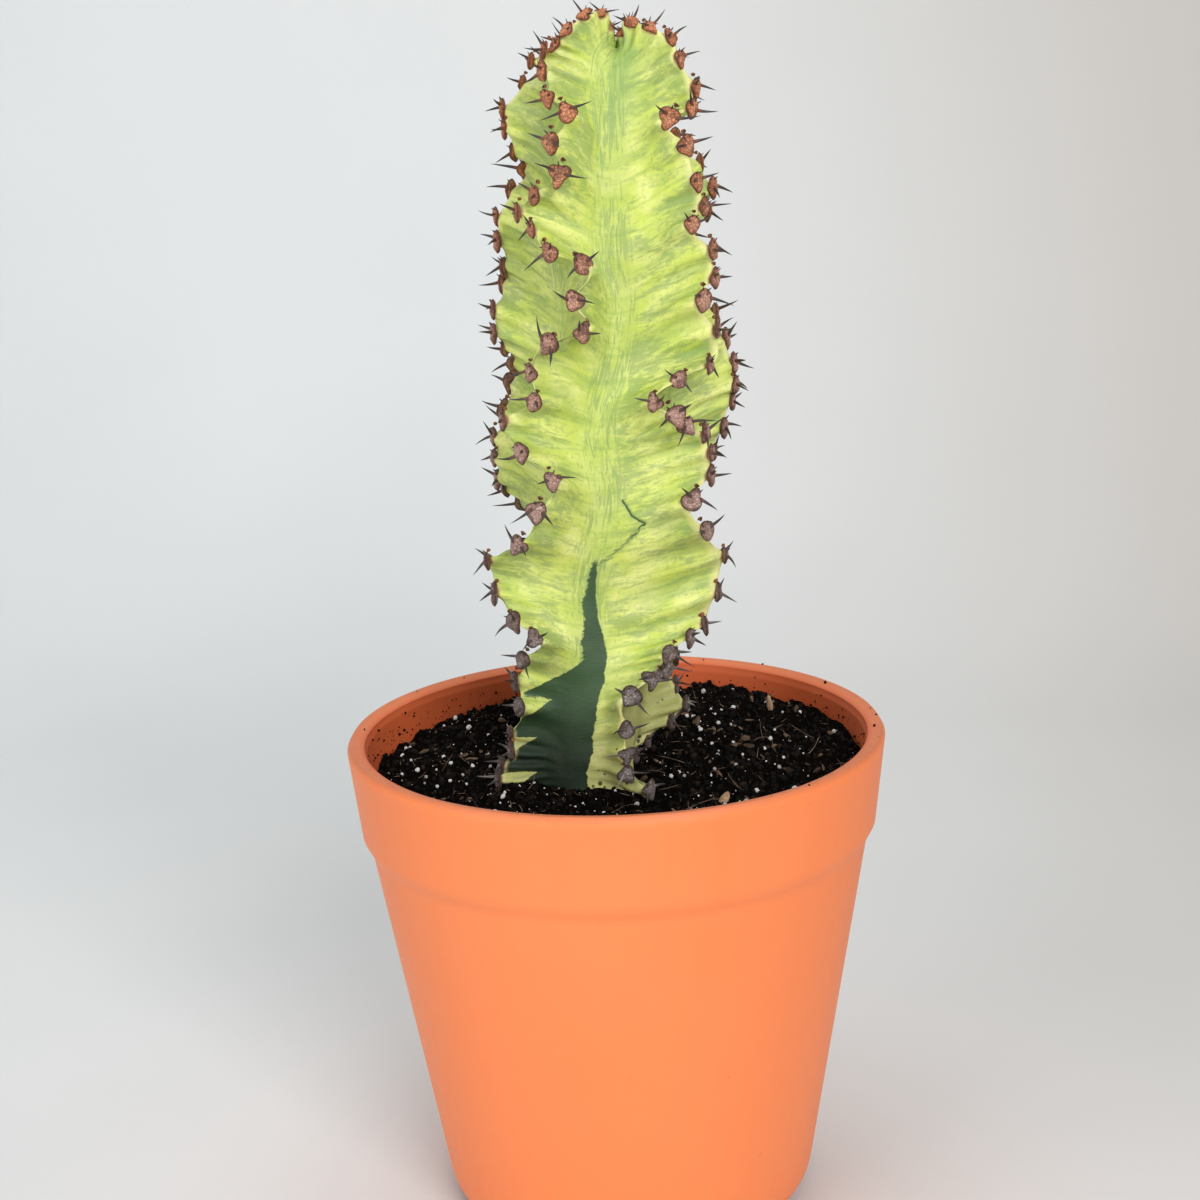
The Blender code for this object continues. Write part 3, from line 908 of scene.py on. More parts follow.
@dataclass
class PeatBed:
    """The soil, its crumbs, and the light pieces that lie on it."""

    layout: Layout
    pot: PlasticPot
    seed: int = 5
    rings: int = 150
    steps: int = 420
    crumbs: int = 5200
    grains: int = 620
    fibres: int = 330
    chips: int = 130
    specks: int = 420
    large_grains: int = 8
    large_chips: int = 3
    wall_gap: float = 0.4 * MM

    def edge_radius(self) -> float:
        """Where the soil meets the pot."""
        return self.pot.inner_radius(self.layout.soil_level - 4 * MM) - self.wall_gap

    def height(self, plan: Array) -> Array:
        """Top of the soil: a tilt to the back right, clods at three scales and a ragged edge.

        Args:
            plan: x and y, (..., 2), in metres.

        Returns:
            Heights in metres.
        """
        flat = np.concatenate([plan, np.zeros(plan.shape[:-1] + (1,))], axis=-1)
        radius = np.linalg.norm(plan, axis=-1)
        edge = smoothstep(radius, self.edge_radius() - 9 * MM, self.edge_radius())
        tilt = (0.5 * plan[..., 0] + 0.9 * plan[..., 1]) / self.layout.rim_radius
        clods = (
            1.9 * layered_noise(flat, 26 * MM, 11, 2) + 1.15 * value_noise(flat, 7 * MM, 12)
            + 0.75 * np.abs(value_noise(flat, 3.2 * MM, 13)) + 0.4 * value_noise(flat, 1.5 * MM, 14)
        )
        ragged = edge * (1.6 * value_noise(flat, 9 * MM, 15) + 1.3 * value_noise(flat, 4 * MM, 16))
        total = 5.0 * tilt + clods + ragged - 3.0 - 1.0 * edge
        return self.layout.soil_level + total * MM

    def bed(self) -> Surface:
        """The bed: rings of the top, then the side along the pot's wall and the bottom."""
        edge = self.edge_radius()
        top = np.linspace(edge, 0.0, self.rings + 1)[::-1]
        floor = self.pot.foot_recess + self.pot.wall + self.wall_gap
        corner = self.pot.wall_radius(floor) - self.pot.wall - 9 * MM
        levels = (150 * MM, 120 * MM, 60 * MM, 18 * MM)
        side = [(self.pot.inner_radius(level) - self.wall_gap, level) for level in levels]
        side += [(corner, floor), (0.0, floor)]
        outline = [(radius, self.layout.soil_level) for radius in top] + side
        made = turned_surface(np.array(outline), self.steps)
        high = np.arange(len(made.points)) < self.rings * self.steps
        high[-2] = True  # The middle of the top comes after the rings, just before the bottom's.
        plan = made.points[:, :2]
        made.points[high, 2] = self.height(plan[high])
        return made

    def scatter(self, rng: np.random.Generator, count: int, spread: float = 1.0) -> Array:
        """Places on the soil's top, evenly over its area, (count, 3)."""
        radius = self.edge_radius() * spread * np.sqrt(rng.random(count))
        angle = rng.uniform(0, 2 * np.pi, count)
        plan = np.stack([radius * np.cos(angle), radius * np.sin(angle)], axis=-1)
        return np.concatenate([plan, self.height(plan)[:, None]], axis=-1)

    def build(self, peat: Peat, pale: PalePieces) -> None:
        """Make the bed, crumbs, specks on the wall, perlite, bark and fibres."""
        rng = np.random.default_rng(self.seed)
        add_piece("peat_bed", self.bed(), peat.material(), ["soil"])
        crumb_finish = peat.crumb_material()
        places = self.scatter(rng, self.crumbs, 0.995)
        sizes = 0.45 * MM + 1.0 * MM * rng.random(self.crumbs) ** 2.6
        squash = rng.uniform(0.6, 1.25, (self.crumbs, 3))
        places[:, 2] += 0.25 * sizes
        crumbs = scattered_lumps(places, sizes, squash, rng, 0, 0.22)
        add_piece("peat_crumbs", crumbs, crumb_finish)
        add_piece("wall_crumbs", self.wall_specks(rng), crumb_finish)
        self.build_pale(rng, pale)

    def wall_specks(self, rng: np.random.Generator) -> Surface:
        """Crumbs stuck to the pot's inner wall and dropped on its rim, thickest at the soil."""
        count = self.specks
        angle = rng.uniform(0, 2 * np.pi, count)
        top = self.layout.rim_height - 2.5 * MM
        rise = rng.random(count) ** 2.2
        level = self.layout.soil_level - 1 * MM + rise * (top - self.layout.soil_level)
        radius = np.array([self.pot.inner_radius(h) for h in level]) - 0.15 * MM
        on_rim = rng.random(count) < 0.06
        rim = self.layout.rim_radius - rng.uniform(1.6, 5.0, count) * MM
        radius = np.where(on_rim, rim, radius)
        level = np.where(on_rim, self.layout.rim_height + 0.05 * MM, level)
        places = np.stack([radius * np.cos(angle), radius * np.sin(angle), level], axis=-1)
        sizes = (0.16 + 0.5 * rng.random(count) ** 2.5) * MM
        return scattered_lumps(places, sizes, rng.uniform(0.6, 1.2, (count, 3)), rng, 0, 0.2)

    def build_pale(self, rng: np.random.Generator, pale: PalePieces) -> None:
        """Make the perlite grains, the bark chips and the fibres."""
        places = self.scatter(rng, self.grains, 0.97)
        sizes = (0.20 + 0.72 * rng.random(self.grains) ** 4.2) * MM
        nodes = [f"perlite_{i + 1}" for i in range(self.large_grains)]
        centre = np.array([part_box(node) for node in nodes]).mean(axis=1)
        centre[:, 2] = self.height(centre[:, :2]) + 0.7 * MM
        places = np.concatenate([places, centre])
        sizes = np.concatenate([sizes, np.full(self.large_grains, 0.95 * MM)])
        places[:, 2] += 0.55 * sizes
        squash = rng.uniform(0.75, 1.2, (len(places), 3))
        grains = scattered_lumps(places, sizes, squash, rng, 1, 0.13)
        add_piece("perlite_grains", grains, pale.perlite(), nodes)
        places = self.scatter(rng, self.chips, 0.96)
        nodes = [f"bark_chip_{i + 1}" for i in range(self.large_chips)]
        centre = np.array([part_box(node) for node in nodes]).mean(axis=1)
        centre[:, 2] = self.height(centre[:, :2]) + 0.9 * MM
        places = np.concatenate([places, centre])
        sizes = (0.8 + 1.3 * rng.random(self.chips) ** 2) * MM
        sizes = np.concatenate([sizes, np.full(self.large_chips, 3.2 * MM)])
        places[:, 2] += 0.2 * sizes
        squash = np.array([1.3, 0.62, 0.3]) * rng.uniform(0.75, 1.2, (len(places), 3))
        chips = scattered_lumps(places, sizes, squash, rng, 1, 0.1)
        corners = len(chips.points) // len(places)
        chips.values["tone"] *= 0.35
        chips.values["tone"][-self.large_chips * corners:] = 1.0
        add_piece("bark_chips", chips, pale.bark(), nodes)
        roots = self.scatter(rng, self.fibres, 0.95)
        angle = rng.uniform(0, 2 * np.pi, self.fibres)
        lift = rng.uniform(-0.1, 0.42, self.fibres)
        directions = unit(np.stack([np.cos(angle), np.sin(angle), lift], axis=-1))
        bends = 0.35 * rng.normal(size=(self.fibres, 3)) - [0, 0, 0.12]
        lengths = (2.5 + 6.5 * rng.random(self.fibres) ** 2) * MM
        radii = rng.uniform(0.10, 0.24, self.fibres) * MM
        fibres = bent_spikes(roots, directions, bends, lengths, radii, 5, 7, 0.4)
        add_piece("soil_fibres", fibres, pale.fibre())


# ---- stem ----


@dataclass(frozen=True)
class Rib:
    """One rib's spine cushions from foot to top: (height mm, bearing degrees, reach mm)."""

    name: str
    cushions: tuple[Triple, ...]


RIBS = (
    Rib("front_left", (
        (-14, -84, 27), (-7, -83, 30), (-2, -82, 34), (3, -84, 33), (8, -80, 30), (14, -84, 30),
        (26, -66, 29.5), (35, -72, 30), (45, -54, 32), (54, -38, 34), (58, -56, 35),
        (67, -71, 38), (79, -70, 41), (87, -43, 41), (99, -31, 42), (110, -23, 42),
        (117, -41, 42), (128, -52, 43), (135, -35, 42), (144, -37, 42), (153, -29, 41),
        (157, -12, 41), (167, -17, 41), (178, -13, 40), (182, -30, 40), (189, -42, 39),
        (194, -54, 38), (200, -43, 37.5), (206, -28, 37), (216, -36, 35), (225, -28, 33),
        (229, -43, 32), (237, -53, 30), (240.5, -74, 29), (244, -66, 26), (246, -57, 24),
        (250, -50, 22), (254.5, -38, 17.5), (255, -30, 10.5), (251, -32, 5),
    )),
    Rib("front_right", (
        (-14, 40, 26), (-7, 43, 31), (-1, 38, 31), (5, 24, 28), (12, 22, 28), (21, 22, 28),
        (33, 21, 30),
        (38, 37, 31), (41, 48, 32), (46, 47, 33), (49, 66, 34.5), (51, 82, 37), (62, 83, 41),
        (76, 80, 43), (88, 57, 41.5), (100, 45, 42), (106, 58, 42), (114, 57, 42), (121, 52, 42),
        (125, 40, 42), (129, 32, 42), (134, 21, 42), (140, 33, 42), (143, 54, 41.5),
        (154, 59, 41.5), (165, 47, 41), (171, 56, 41), (180, 55, 40.5), (189, 41, 39),
        (194, 50, 38.5), (202, 47, 37), (213, 42, 35), (222, 31, 33), (224, 48, 33),
        (231, 53, 32), (240, 46, 28), (246.5, 46, 24), (250, 39, 17), (252, 28, 9), (249, 30, 4.5),
    )),
    Rib("back_right", (
        (-14, 104, 14), (-5, 100, 14), (3, 96, 15), (9, 94, 19), (15, 94, 27), (21, 95, 32),
        (27, 104, 29), (36, 116, 31), (45, 128, 34), (54, 140, 37), (64, 152, 40), (74, 158, 42),
        (84, 152, 41.5), (92, 140, 41), (100, 126, 42), (108, 110, 41), (117, 101, 42),
        (126, 99, 44), (132, 96, 44.5), (139, 99, 44), (147, 104, 42), (155, 116, 41),
        (163, 132, 42), (172, 146, 41), (181, 137, 40), (189, 122, 39), (197, 112, 37),
        (205, 124, 36), (213, 144, 36), (221, 150, 34), (228, 138, 33), (235, 146, 30),
        (241, 138, 26), (246, 142, 20), (249, 140, 12), (247.5, 140, 5),
    )),
    Rib("back_left", (
        (-14, 190, 24), (-4, 190, 26), (6, 196, 27), (16, 187, 28), (26, 198, 29), (36, 191, 31),
        (46, 204, 34), (55, 197, 38), (64, 208, 40), (73, 213, 42), (81, 205, 42), (89, 222, 42),
        (96, 238, 40), (101, 250, 39), (109, 256, 39), (116, 253, 40), (124, 240, 41),
        (132, 232, 42), (140, 238, 38), (146, 248, 38), (152, 256, 40), (160, 258, 40),
        (168, 252, 38), (174, 256, 37), (183, 262, 38.5), (191, 262, 39), (199, 252, 36),
        (205, 243, 33), (211, 252, 35), (219, 260, 37), (226, 258, 38), (233, 246, 34),
        (240, 232, 28), (245, 226, 21), (248.5, 222, 12), (247, 222, 5),
    )),
)


@dataclass(frozen=True)
class CushionFrames:
    """Where each spine cushion sits and how it is turned: arrays with one row a cushion."""

    centre: Array
    outward: Array
    up: Array
    side: Array
    age: Array
    size: Array

    def place(self, across: Array, along: Array, out: Array) -> Array:
        """Points, (N, ..., 3), from distances in each cushion's own axes, all in metres."""
        extra = (1,) * (across.ndim - 1)
        rows = (self.side, self.up, self.outward, self.centre)
        shaped = [row.reshape(len(row), *extra, 3) for row in rows]
        return (across[..., None] * shaped[0] + along[..., None] * shaped[1]
                + out[..., None] * shaped[2] + shaped[3])


@dataclass(frozen=True)
class RibLines:
    """A rib's crest line, the same averaged a little and a lot, and their offsets from the axis."""

    lines: list[Array]
    arms: list[Array]
    swell: Array


@dataclass
class WavyStem:
    """The four-ribbed stem as one closed grid, in millimetres until it becomes a mesh."""

    layout: Layout
    foot: tuple[float, float] = (-8.0, -12.0)
    lean: float = 17.0
    top: float = 251.0
    low: float = -14.0
    end: float = 270.0
    apex_height: float = 244.5
    rows: int = 452
    least_step: float = 3.6
    half_thickness: float = 1.55
    scallop: float = 1.5
    near_blur: float = 4.5
    far_blur: float = 15.0
    seed: int = 21
    samples: tuple[int, ...] = (3, 6, 8, 9, 9, 8, 6, 3)

    def __post_init__(self) -> None:
        """Work out the crest curves, which the skin and the cushions share."""
        self.path = np.linspace(self.low, self.end, self.rows)
        self.spacing = float(self.path[1] - self.path[0])
        self.knots = [self.knots_of(rib) for rib in RIBS]
        self.crests = [self.crest_of(places, points) for places, points in self.knots]

    def axis(self, height: Array) -> Array:
        """The stem's middle at each height: straight, leaning towards +X."""
        share = np.clip(height / self.top, -0.1, 1.0)
        return np.stack(
            [self.foot[0] + self.lean * share, np.full_like(share, self.foot[1]), height], axis=-1
        )

    def knots_of(self, rib: Rib) -> tuple[Array, Array]:
        """A rib's cushions, and then the apex: places at least least_step apart, and points."""
        height, bearing, reach = np.array(rib.cushions, float).T
        places = np.maximum.accumulate(height - self.least_step * np.arange(len(height)))
        places = places + self.least_step * np.arange(len(height))
        crowd = np.clip(places[-1] - (self.end - 3.0), 0.0, None)
        places = places - crowd * smoothstep(places, 225.0, places[-1])
        points = self.axis(height) + towards(bearing) * reach[:, None]
        tip = self.axis(np.array([self.apex_height]))
        tip = tip + towards(bearing[-1:]) * 1.2
        return np.append(places, self.end), np.concatenate([points, tip])

    def crest_of(self, places: Array, points: Array) -> Array:
        """The crest line: a smooth curve through the cushions, drawn in a little between them."""
        line = curve_through(places, points, self.path)
        index = np.clip(np.searchsorted(places, self.path, side="right") - 1, 0, len(places) - 2)
        share = (self.path - places[index]) / (places[index + 1] - places[index])
        chord = np.linalg.norm(points[index + 1] - points[index], axis=-1)
        depth = self.scallop * 4 * share * (1 - share) * np.clip(chord / 11.0, 0.2, 1.15)
        inward = self.axis(line[:, 2]) - line
        inward[:, 2] = 0.0
        fade = smoothstep(self.path, self.end - 4, self.end - 18)
        return line + unit(inward) * (depth * fade)[:, None]

    def controls(self) -> Array:
        """Control points of each row's closed curve, (T, 32, 3).

        Each sector gives eight: the crest's tip, its edge, a point on the outer flank, one on the
        inner flank, the valley, and the same back out to the next crest. The tip keeps the whole
        wave of the crest, the flank less and less of it, and the valley hardly any. Every point
        but the crest's sits lower by a lag that grows inwards, so that the rows rise outwards.
        """
        ribs = [self.rib_lines(crest, knots[0]) for crest, knots in zip(self.crests, self.knots)]
        lag = np.interp(self.path, [self.low, 10, 60, 200, 225, 245, self.end],
                        [1.0, 4.0, 8.0, 12.0, 10.5, 6.0, 4.0])
        closing = smoothstep(self.path, self.end, self.end - 14)
        reach = [np.linalg.norm(rib.arms[2][:, :2], axis=-1) for rib in ribs]
        mean_reach = np.mean(reach, axis=0)
        valley_share = np.interp(self.path, [self.low, 20, 70, 200, 235, 256, self.end],
                                 [0.70, 0.60, 0.43, 0.42, 0.56, 0.66, 0.45])
        out = []
        for k, mine in enumerate(ribs):
            following = ribs[(k + 1) % len(ribs)]
            share = (np.interp(self.path, [0, 30, 70], [0.5, 0.58, 0.65]) if k == 0
                     else np.full(self.rows, 0.5))[:, None]
            middle = unit(share * unit(mine.arms[2]) + (1 - share) * unit(following.arms[2]))
            level = 0.5 * (mine.lines[2][:, 2] + following.lines[2][:, 2]) - lag
            level = np.minimum(level, self.apex_height - 1.0)
            valley = self.axis(level) + middle * (valley_share * mean_reach)[:, None]
            start = self.flank(mine, 1.0, lag, closing)
            finish = self.flank(following, -1.0, lag, closing)
            out += [mine.lines[0], *start, valley, *finish[::-1]]
        return np.stack(out, axis=1)

    def rib_lines(self, crest: Array, places: Array) -> RibLines:
        """A crest's lines, and its swell, which is largest under a cushion."""
        lines = [crest]
        lines += [blurred(crest, self.spacing, width) for width in (self.near_blur, self.far_blur)]
        arms = [line - self.axis(line[:, 2]) for line in lines]
        count = np.interp(self.path, places, np.arange(len(places)))
        return RibLines(lines, arms, 1 + 0.32 * np.cos(2 * np.pi * count))

    def flank(
        self, rib: RibLines, sign: float, lag: Array, closing: Array
    ) -> list[Array]:
        """The edge, outer and inner control points on one side of a rib.

        Args:
            rib: The rib's lines.
            sign: 1 for the side towards the next rib, -1 for the other.
            lag: How much lower the valley is, for each row.
            closing: 1 along the stem, easing to 0 at the apex.

        Returns:
            Three arrays of points, from the crest inwards.
        """
        (crest, near, far), arm = rib.lines, rib.arms
        up = np.array([0.0, 0.0, 1.0])
        sides = [unit(np.cross(up, a)) * sign for a in arm]
        reach = [np.linalg.norm(a[:, :2], axis=-1) for a in arm]
        half = self.half_thickness * (0.25 + 0.75 * closing) * rib.swell
        edge = crest - unit(arm[0]) * (0.8 * half)[:, None] + sides[0] * half[:, None]
        outer_arm = 0.79 * (0.62 * arm[0] + 0.38 * arm[1])
        level = 0.6 * crest[:, 2] + 0.4 * near[:, 2] - 0.22 * lag
        outer = self.axis(level) + outer_arm + sides[1] * (half * 0.9 + 0.035 * reach[1])[:, None]
        inner_arm = 0.56 * (0.22 * arm[0] + 0.33 * arm[1] + 0.45 * arm[2])
        level = 0.35 * near[:, 2] + 0.65 * far[:, 2] - 0.62 * lag
        level = np.minimum(level, self.apex_height + 1.5)
        inner = self.axis(level) + inner_arm + sides[2] * (0.13 * reach[2])[:, None]
        return [edge, outer, inner]

    def basis(self) -> Array:
        """Uniform cubic B-spline weights for one whole row, (columns, 32)."""
        count = 8 * len(RIBS)
        weights = []
        for control in range(count):
            steps = self.samples[control % 8]
            s = np.arange(steps) / steps
            cubic = np.stack([(1 - s) ** 3, 3 * s**3 - 6 * s**2 + 4,
                              -3 * s**3 + 3 * s**2 + 3 * s + 1, s**3], axis=-1) / 6.0
            row = np.zeros((steps, count))
            for offset in range(4):
                row[:, (control - 1 + offset) % count] += cubic[:, offset]
            weights.append(row)
        return np.concatenate(weights)

    def skin(self) -> tuple[Array, Array, Array]:
        """The stem's surface before fine relief.

        Returns:
            Points (T, S, 3), each point's distance from its valley in mm, signed, (T, S), and
            the share of the way from valley to crest, (T, S).
        """
        points = np.einsum("sc,tcx->tsx", self.basis(), self.controls())
        per = sum(self.samples)
        step = np.linalg.norm(np.roll(points, -1, axis=1) - points, axis=-1)
        across = np.zeros(points.shape[:2])
        for k in range(len(RIBS)):
            part = slice(k * per, (k + 1) * per)
            run = np.cumsum(step[:, part], axis=1) - step[:, part]
            across[:, part] = run - run[:, per // 2: per // 2 + 1]
        widest = np.abs(across).reshape(len(points), len(RIBS), per).max(axis=2)
        share = np.abs(across) / np.repeat(widest, per, axis=1).clip(1e-6)
        return points, across, share

    def relief(
        self, points: Array, across: Array, share: Array
    ) -> tuple[Array, Array]:
        """Move the skin along its normals: pleats along the rows, furrows in the valley.

        Args:
            points: The smooth skin, (T, S, 3).
            across: Distance from the valley in mm.
            share: Share of the way from valley to crest.

        Returns:
            The skin with relief, and the relief's height in mm.
        """
        along_rows = np.gradient(points, axis=0)
        along_columns = (np.roll(points, -1, axis=1) - np.roll(points, 1, axis=1)) / 2
        normal = unit(np.cross(along_columns, along_rows))
        sector = np.broadcast_to(np.arange(points.shape[1]) // sum(self.samples), across.shape)
        place = np.broadcast_to(self.path[:, None], across.shape)
        page = sector * 50.0
        flow = np.stack([across, place, page], axis=-1)
        folds = layered_noise(flow * [1 / 26, 1 / 7.5, 1], 1.0, self.seed, 2)
        pleats = layered_noise(flow * [1 / 15, 1 / 2.8, 1], 1.0, self.seed + 1, 2)
        furrows = layered_noise(flow * [1 / 1.7, 1 / 38, 1], 1.0, self.seed + 2, 2)
        foot = smoothstep(place, 55.0, 0.0)
        lumps = layered_noise(points, 7.0, self.seed + 3, 3)
        flank = smoothstep(share, 0.08, 0.45) * smoothstep(share, 1.0, 0.86)
        valley = smoothstep(share, 0.4, 0.05)
        fade = smoothstep(place, self.end - 2, self.end - 22)
        ridge = smoothstep(share, 0.22, 0.8) * smoothstep(share, 1.0, 0.9) * self.beat()
        height = (flank * (0.55 * folds + 0.26 * pleats) + 0.20 * valley * furrows + 0.62 * ridge
                  + foot * 0.75 * lumps * smoothstep(share, 1.0, 0.8))
        height = height * fade
        return points + normal * height[..., None], height

    def beat(self) -> Array:
        """1 on the rows that end at a cushion and -1 halfway between two, (T, S)."""
        half = sum(self.samples) // 2
        waves = []
        for k in range(len(RIBS)):
            for places, _ in (self.knots[k], self.knots[(k + 1) % len(RIBS)]):
                count = np.interp(self.path, places, np.arange(len(places)))
                waves.append(np.repeat(np.cos(2 * np.pi * count)[:, None], half, axis=1))
        return np.concatenate(waves, axis=1)

    def cushion_frames(self) -> CushionFrames:
        """Where the spine cushions sit: on the crest, facing the way its wave leans."""
        centre, outward, up, age = [], [], [], []
        for (places, points), crest in zip(self.knots, self.crests):
            wide = blurred(crest, self.spacing, self.far_blur)
            keep = (places > -2.5) & (places < self.end - 1.0)
            here = points[keep]
            mean = np.stack([np.interp(places[keep], self.path, wide[:, i]) for i in range(3)], -1)
            ahead = curve_through(places, points, places[keep] + 1.5)
            behind = curve_through(places, points, places[keep] - 1.5)
            arm = here - self.axis(here[:, 2])
            drift = (here - mean) * [1, 1, 0]
            lean = smoothstep(here[:, 2], 236.0, 256.0)[:, None] * [0.0, 0.0, 1.1]
            out = unit(unit(arm) + drift / 11.0 + lean)
            along = unit(ahead - behind) * 0.5 + np.array([0, 0, 0.5])
            along = unit(along - out * np.sum(along * out, axis=-1, keepdims=True))
            centre.append(here)
            outward.append(out)
            up.append(along)
            age.append(1.0 - places[keep] / self.end)
        centre, outward, up, age = (np.concatenate(v) for v in (centre, outward, up, age))
        rng = np.random.default_rng(self.seed)
        grown = np.interp(age, [0.0, 0.06, 0.15, 1], [0.5, 0.8, 1, 1])
        size = rng.uniform(0.88, 1.14, len(centre)) * grown
        origin = np.array([0.0, 0.0, self.layout.soil_level])
        return CushionFrames(centre * MM + origin, outward, up, np.cross(up, outward), age, size)

    def surface(self, cushions: CushionFrames) -> Surface:
        """The finished skin, closed at the apex and below the soil, with its painted values."""
        smooth, across, share = self.skin()
        points, height = self.relief(smooth, across, share)
        rows, columns = across.shape
        origin = np.array([0.0, 0.0, self.layout.soil_level])
        flat = points.reshape(-1, 3) * MM + origin
        bottom, tip = points[0].mean(axis=0), points[-1].mean(axis=0)
        flat = np.concatenate([flat, np.stack([bottom, tip]) * MM + origin])
        quads = grid_faces(rows, columns)
        first = np.arange(columns)
        triangles = np.concatenate([
            fan_faces(first[::-1], rows * columns),
            fan_faces(first + (rows - 1) * columns, rows * columns + 1),
        ])
        near = self.nearness(flat, cushions.centre, 3.1 * MM)
        scars = cushions.place(*scar_offset(cushions))
        near_scar = self.nearness(flat, scars, 1.25 * MM)
        per = sum(self.samples)
        front = np.zeros((rows, columns))
        front[:, 1:per] = 1.0
        ends = np.zeros(2)
        values = {
            "crest": np.append(share.ravel(), ends),
            "front": np.append(front.ravel(), ends),
            "right": np.append(np.roll(front, per, axis=1).ravel(), ends),
            "relief": np.append(height.ravel(), ends),
            "cushion_near": near,
            "scar_near": near_scar,
        }
        return Surface(flat, quads, triangles, values, self.flow_of(across, len(triangles)))

    def nearness(self, points: Array, centres: Array, width: float) -> Array:
        """exp(-(d / width)^2) of the distance d to the nearest of the centres."""
        least = np.full(len(points), np.inf)
        for centre in centres:
            least = np.minimum(least, np.sum((points - centre) ** 2, axis=-1))
        return np.exp(-least / width**2)

    def flow_of(self, across: Array, fans: int) -> Array:
        """The flow map for each face corner: across the flank, and along the stem.

        Each sector reads its own distances, so that the map doesn't smear over a crest.

        Args:
            across: Signed distance from the valley in mm, (T, S).
            fans: Number of triangles at the ends.

        Returns:
            (corners, 2): 0.5 plus the distance in decimetres, and the place in decimetres.
        """
        columns = across.shape[1]
        per = sum(self.samples)
        left = across
        right = np.roll(across, -1, axis=1).copy()
        last = np.arange(per - 1, columns, per)
        right[:, last] = across[:, last] + (across[:, last] - across[:, last - 1])
        u = np.stack([left[:-1], right[:-1], right[1:], left[1:]], axis=-1)
        v = np.broadcast_to(self.path[:, None], across.shape)
        v = np.stack([v[:-1], v[:-1], v[1:], v[1:]], axis=-1)
        quads = np.stack([0.5 + u / 100, v / 100], axis=-1).reshape(-1, 2)
        return np.concatenate([quads, np.full((fans * 3, 2), 0.5)])


SCAR_SEED = 33
SCAR_DOME_SEED = 44


def scar_offset(cushions: CushionFrames) -> tuple[Array, Array, Array]:
    """Where the small bud scar above each cushion lies, in the cushion's own axes."""
    rng = np.random.default_rng(SCAR_SEED)
    count = len(cushions.size)
    across = rng.uniform(-0.35, 0.35, count) * MM
    along = (4.3 + rng.uniform(-0.3, 0.5, count)) * cushions.size * MM
    return across, along, np.full(count, -0.55 * MM)


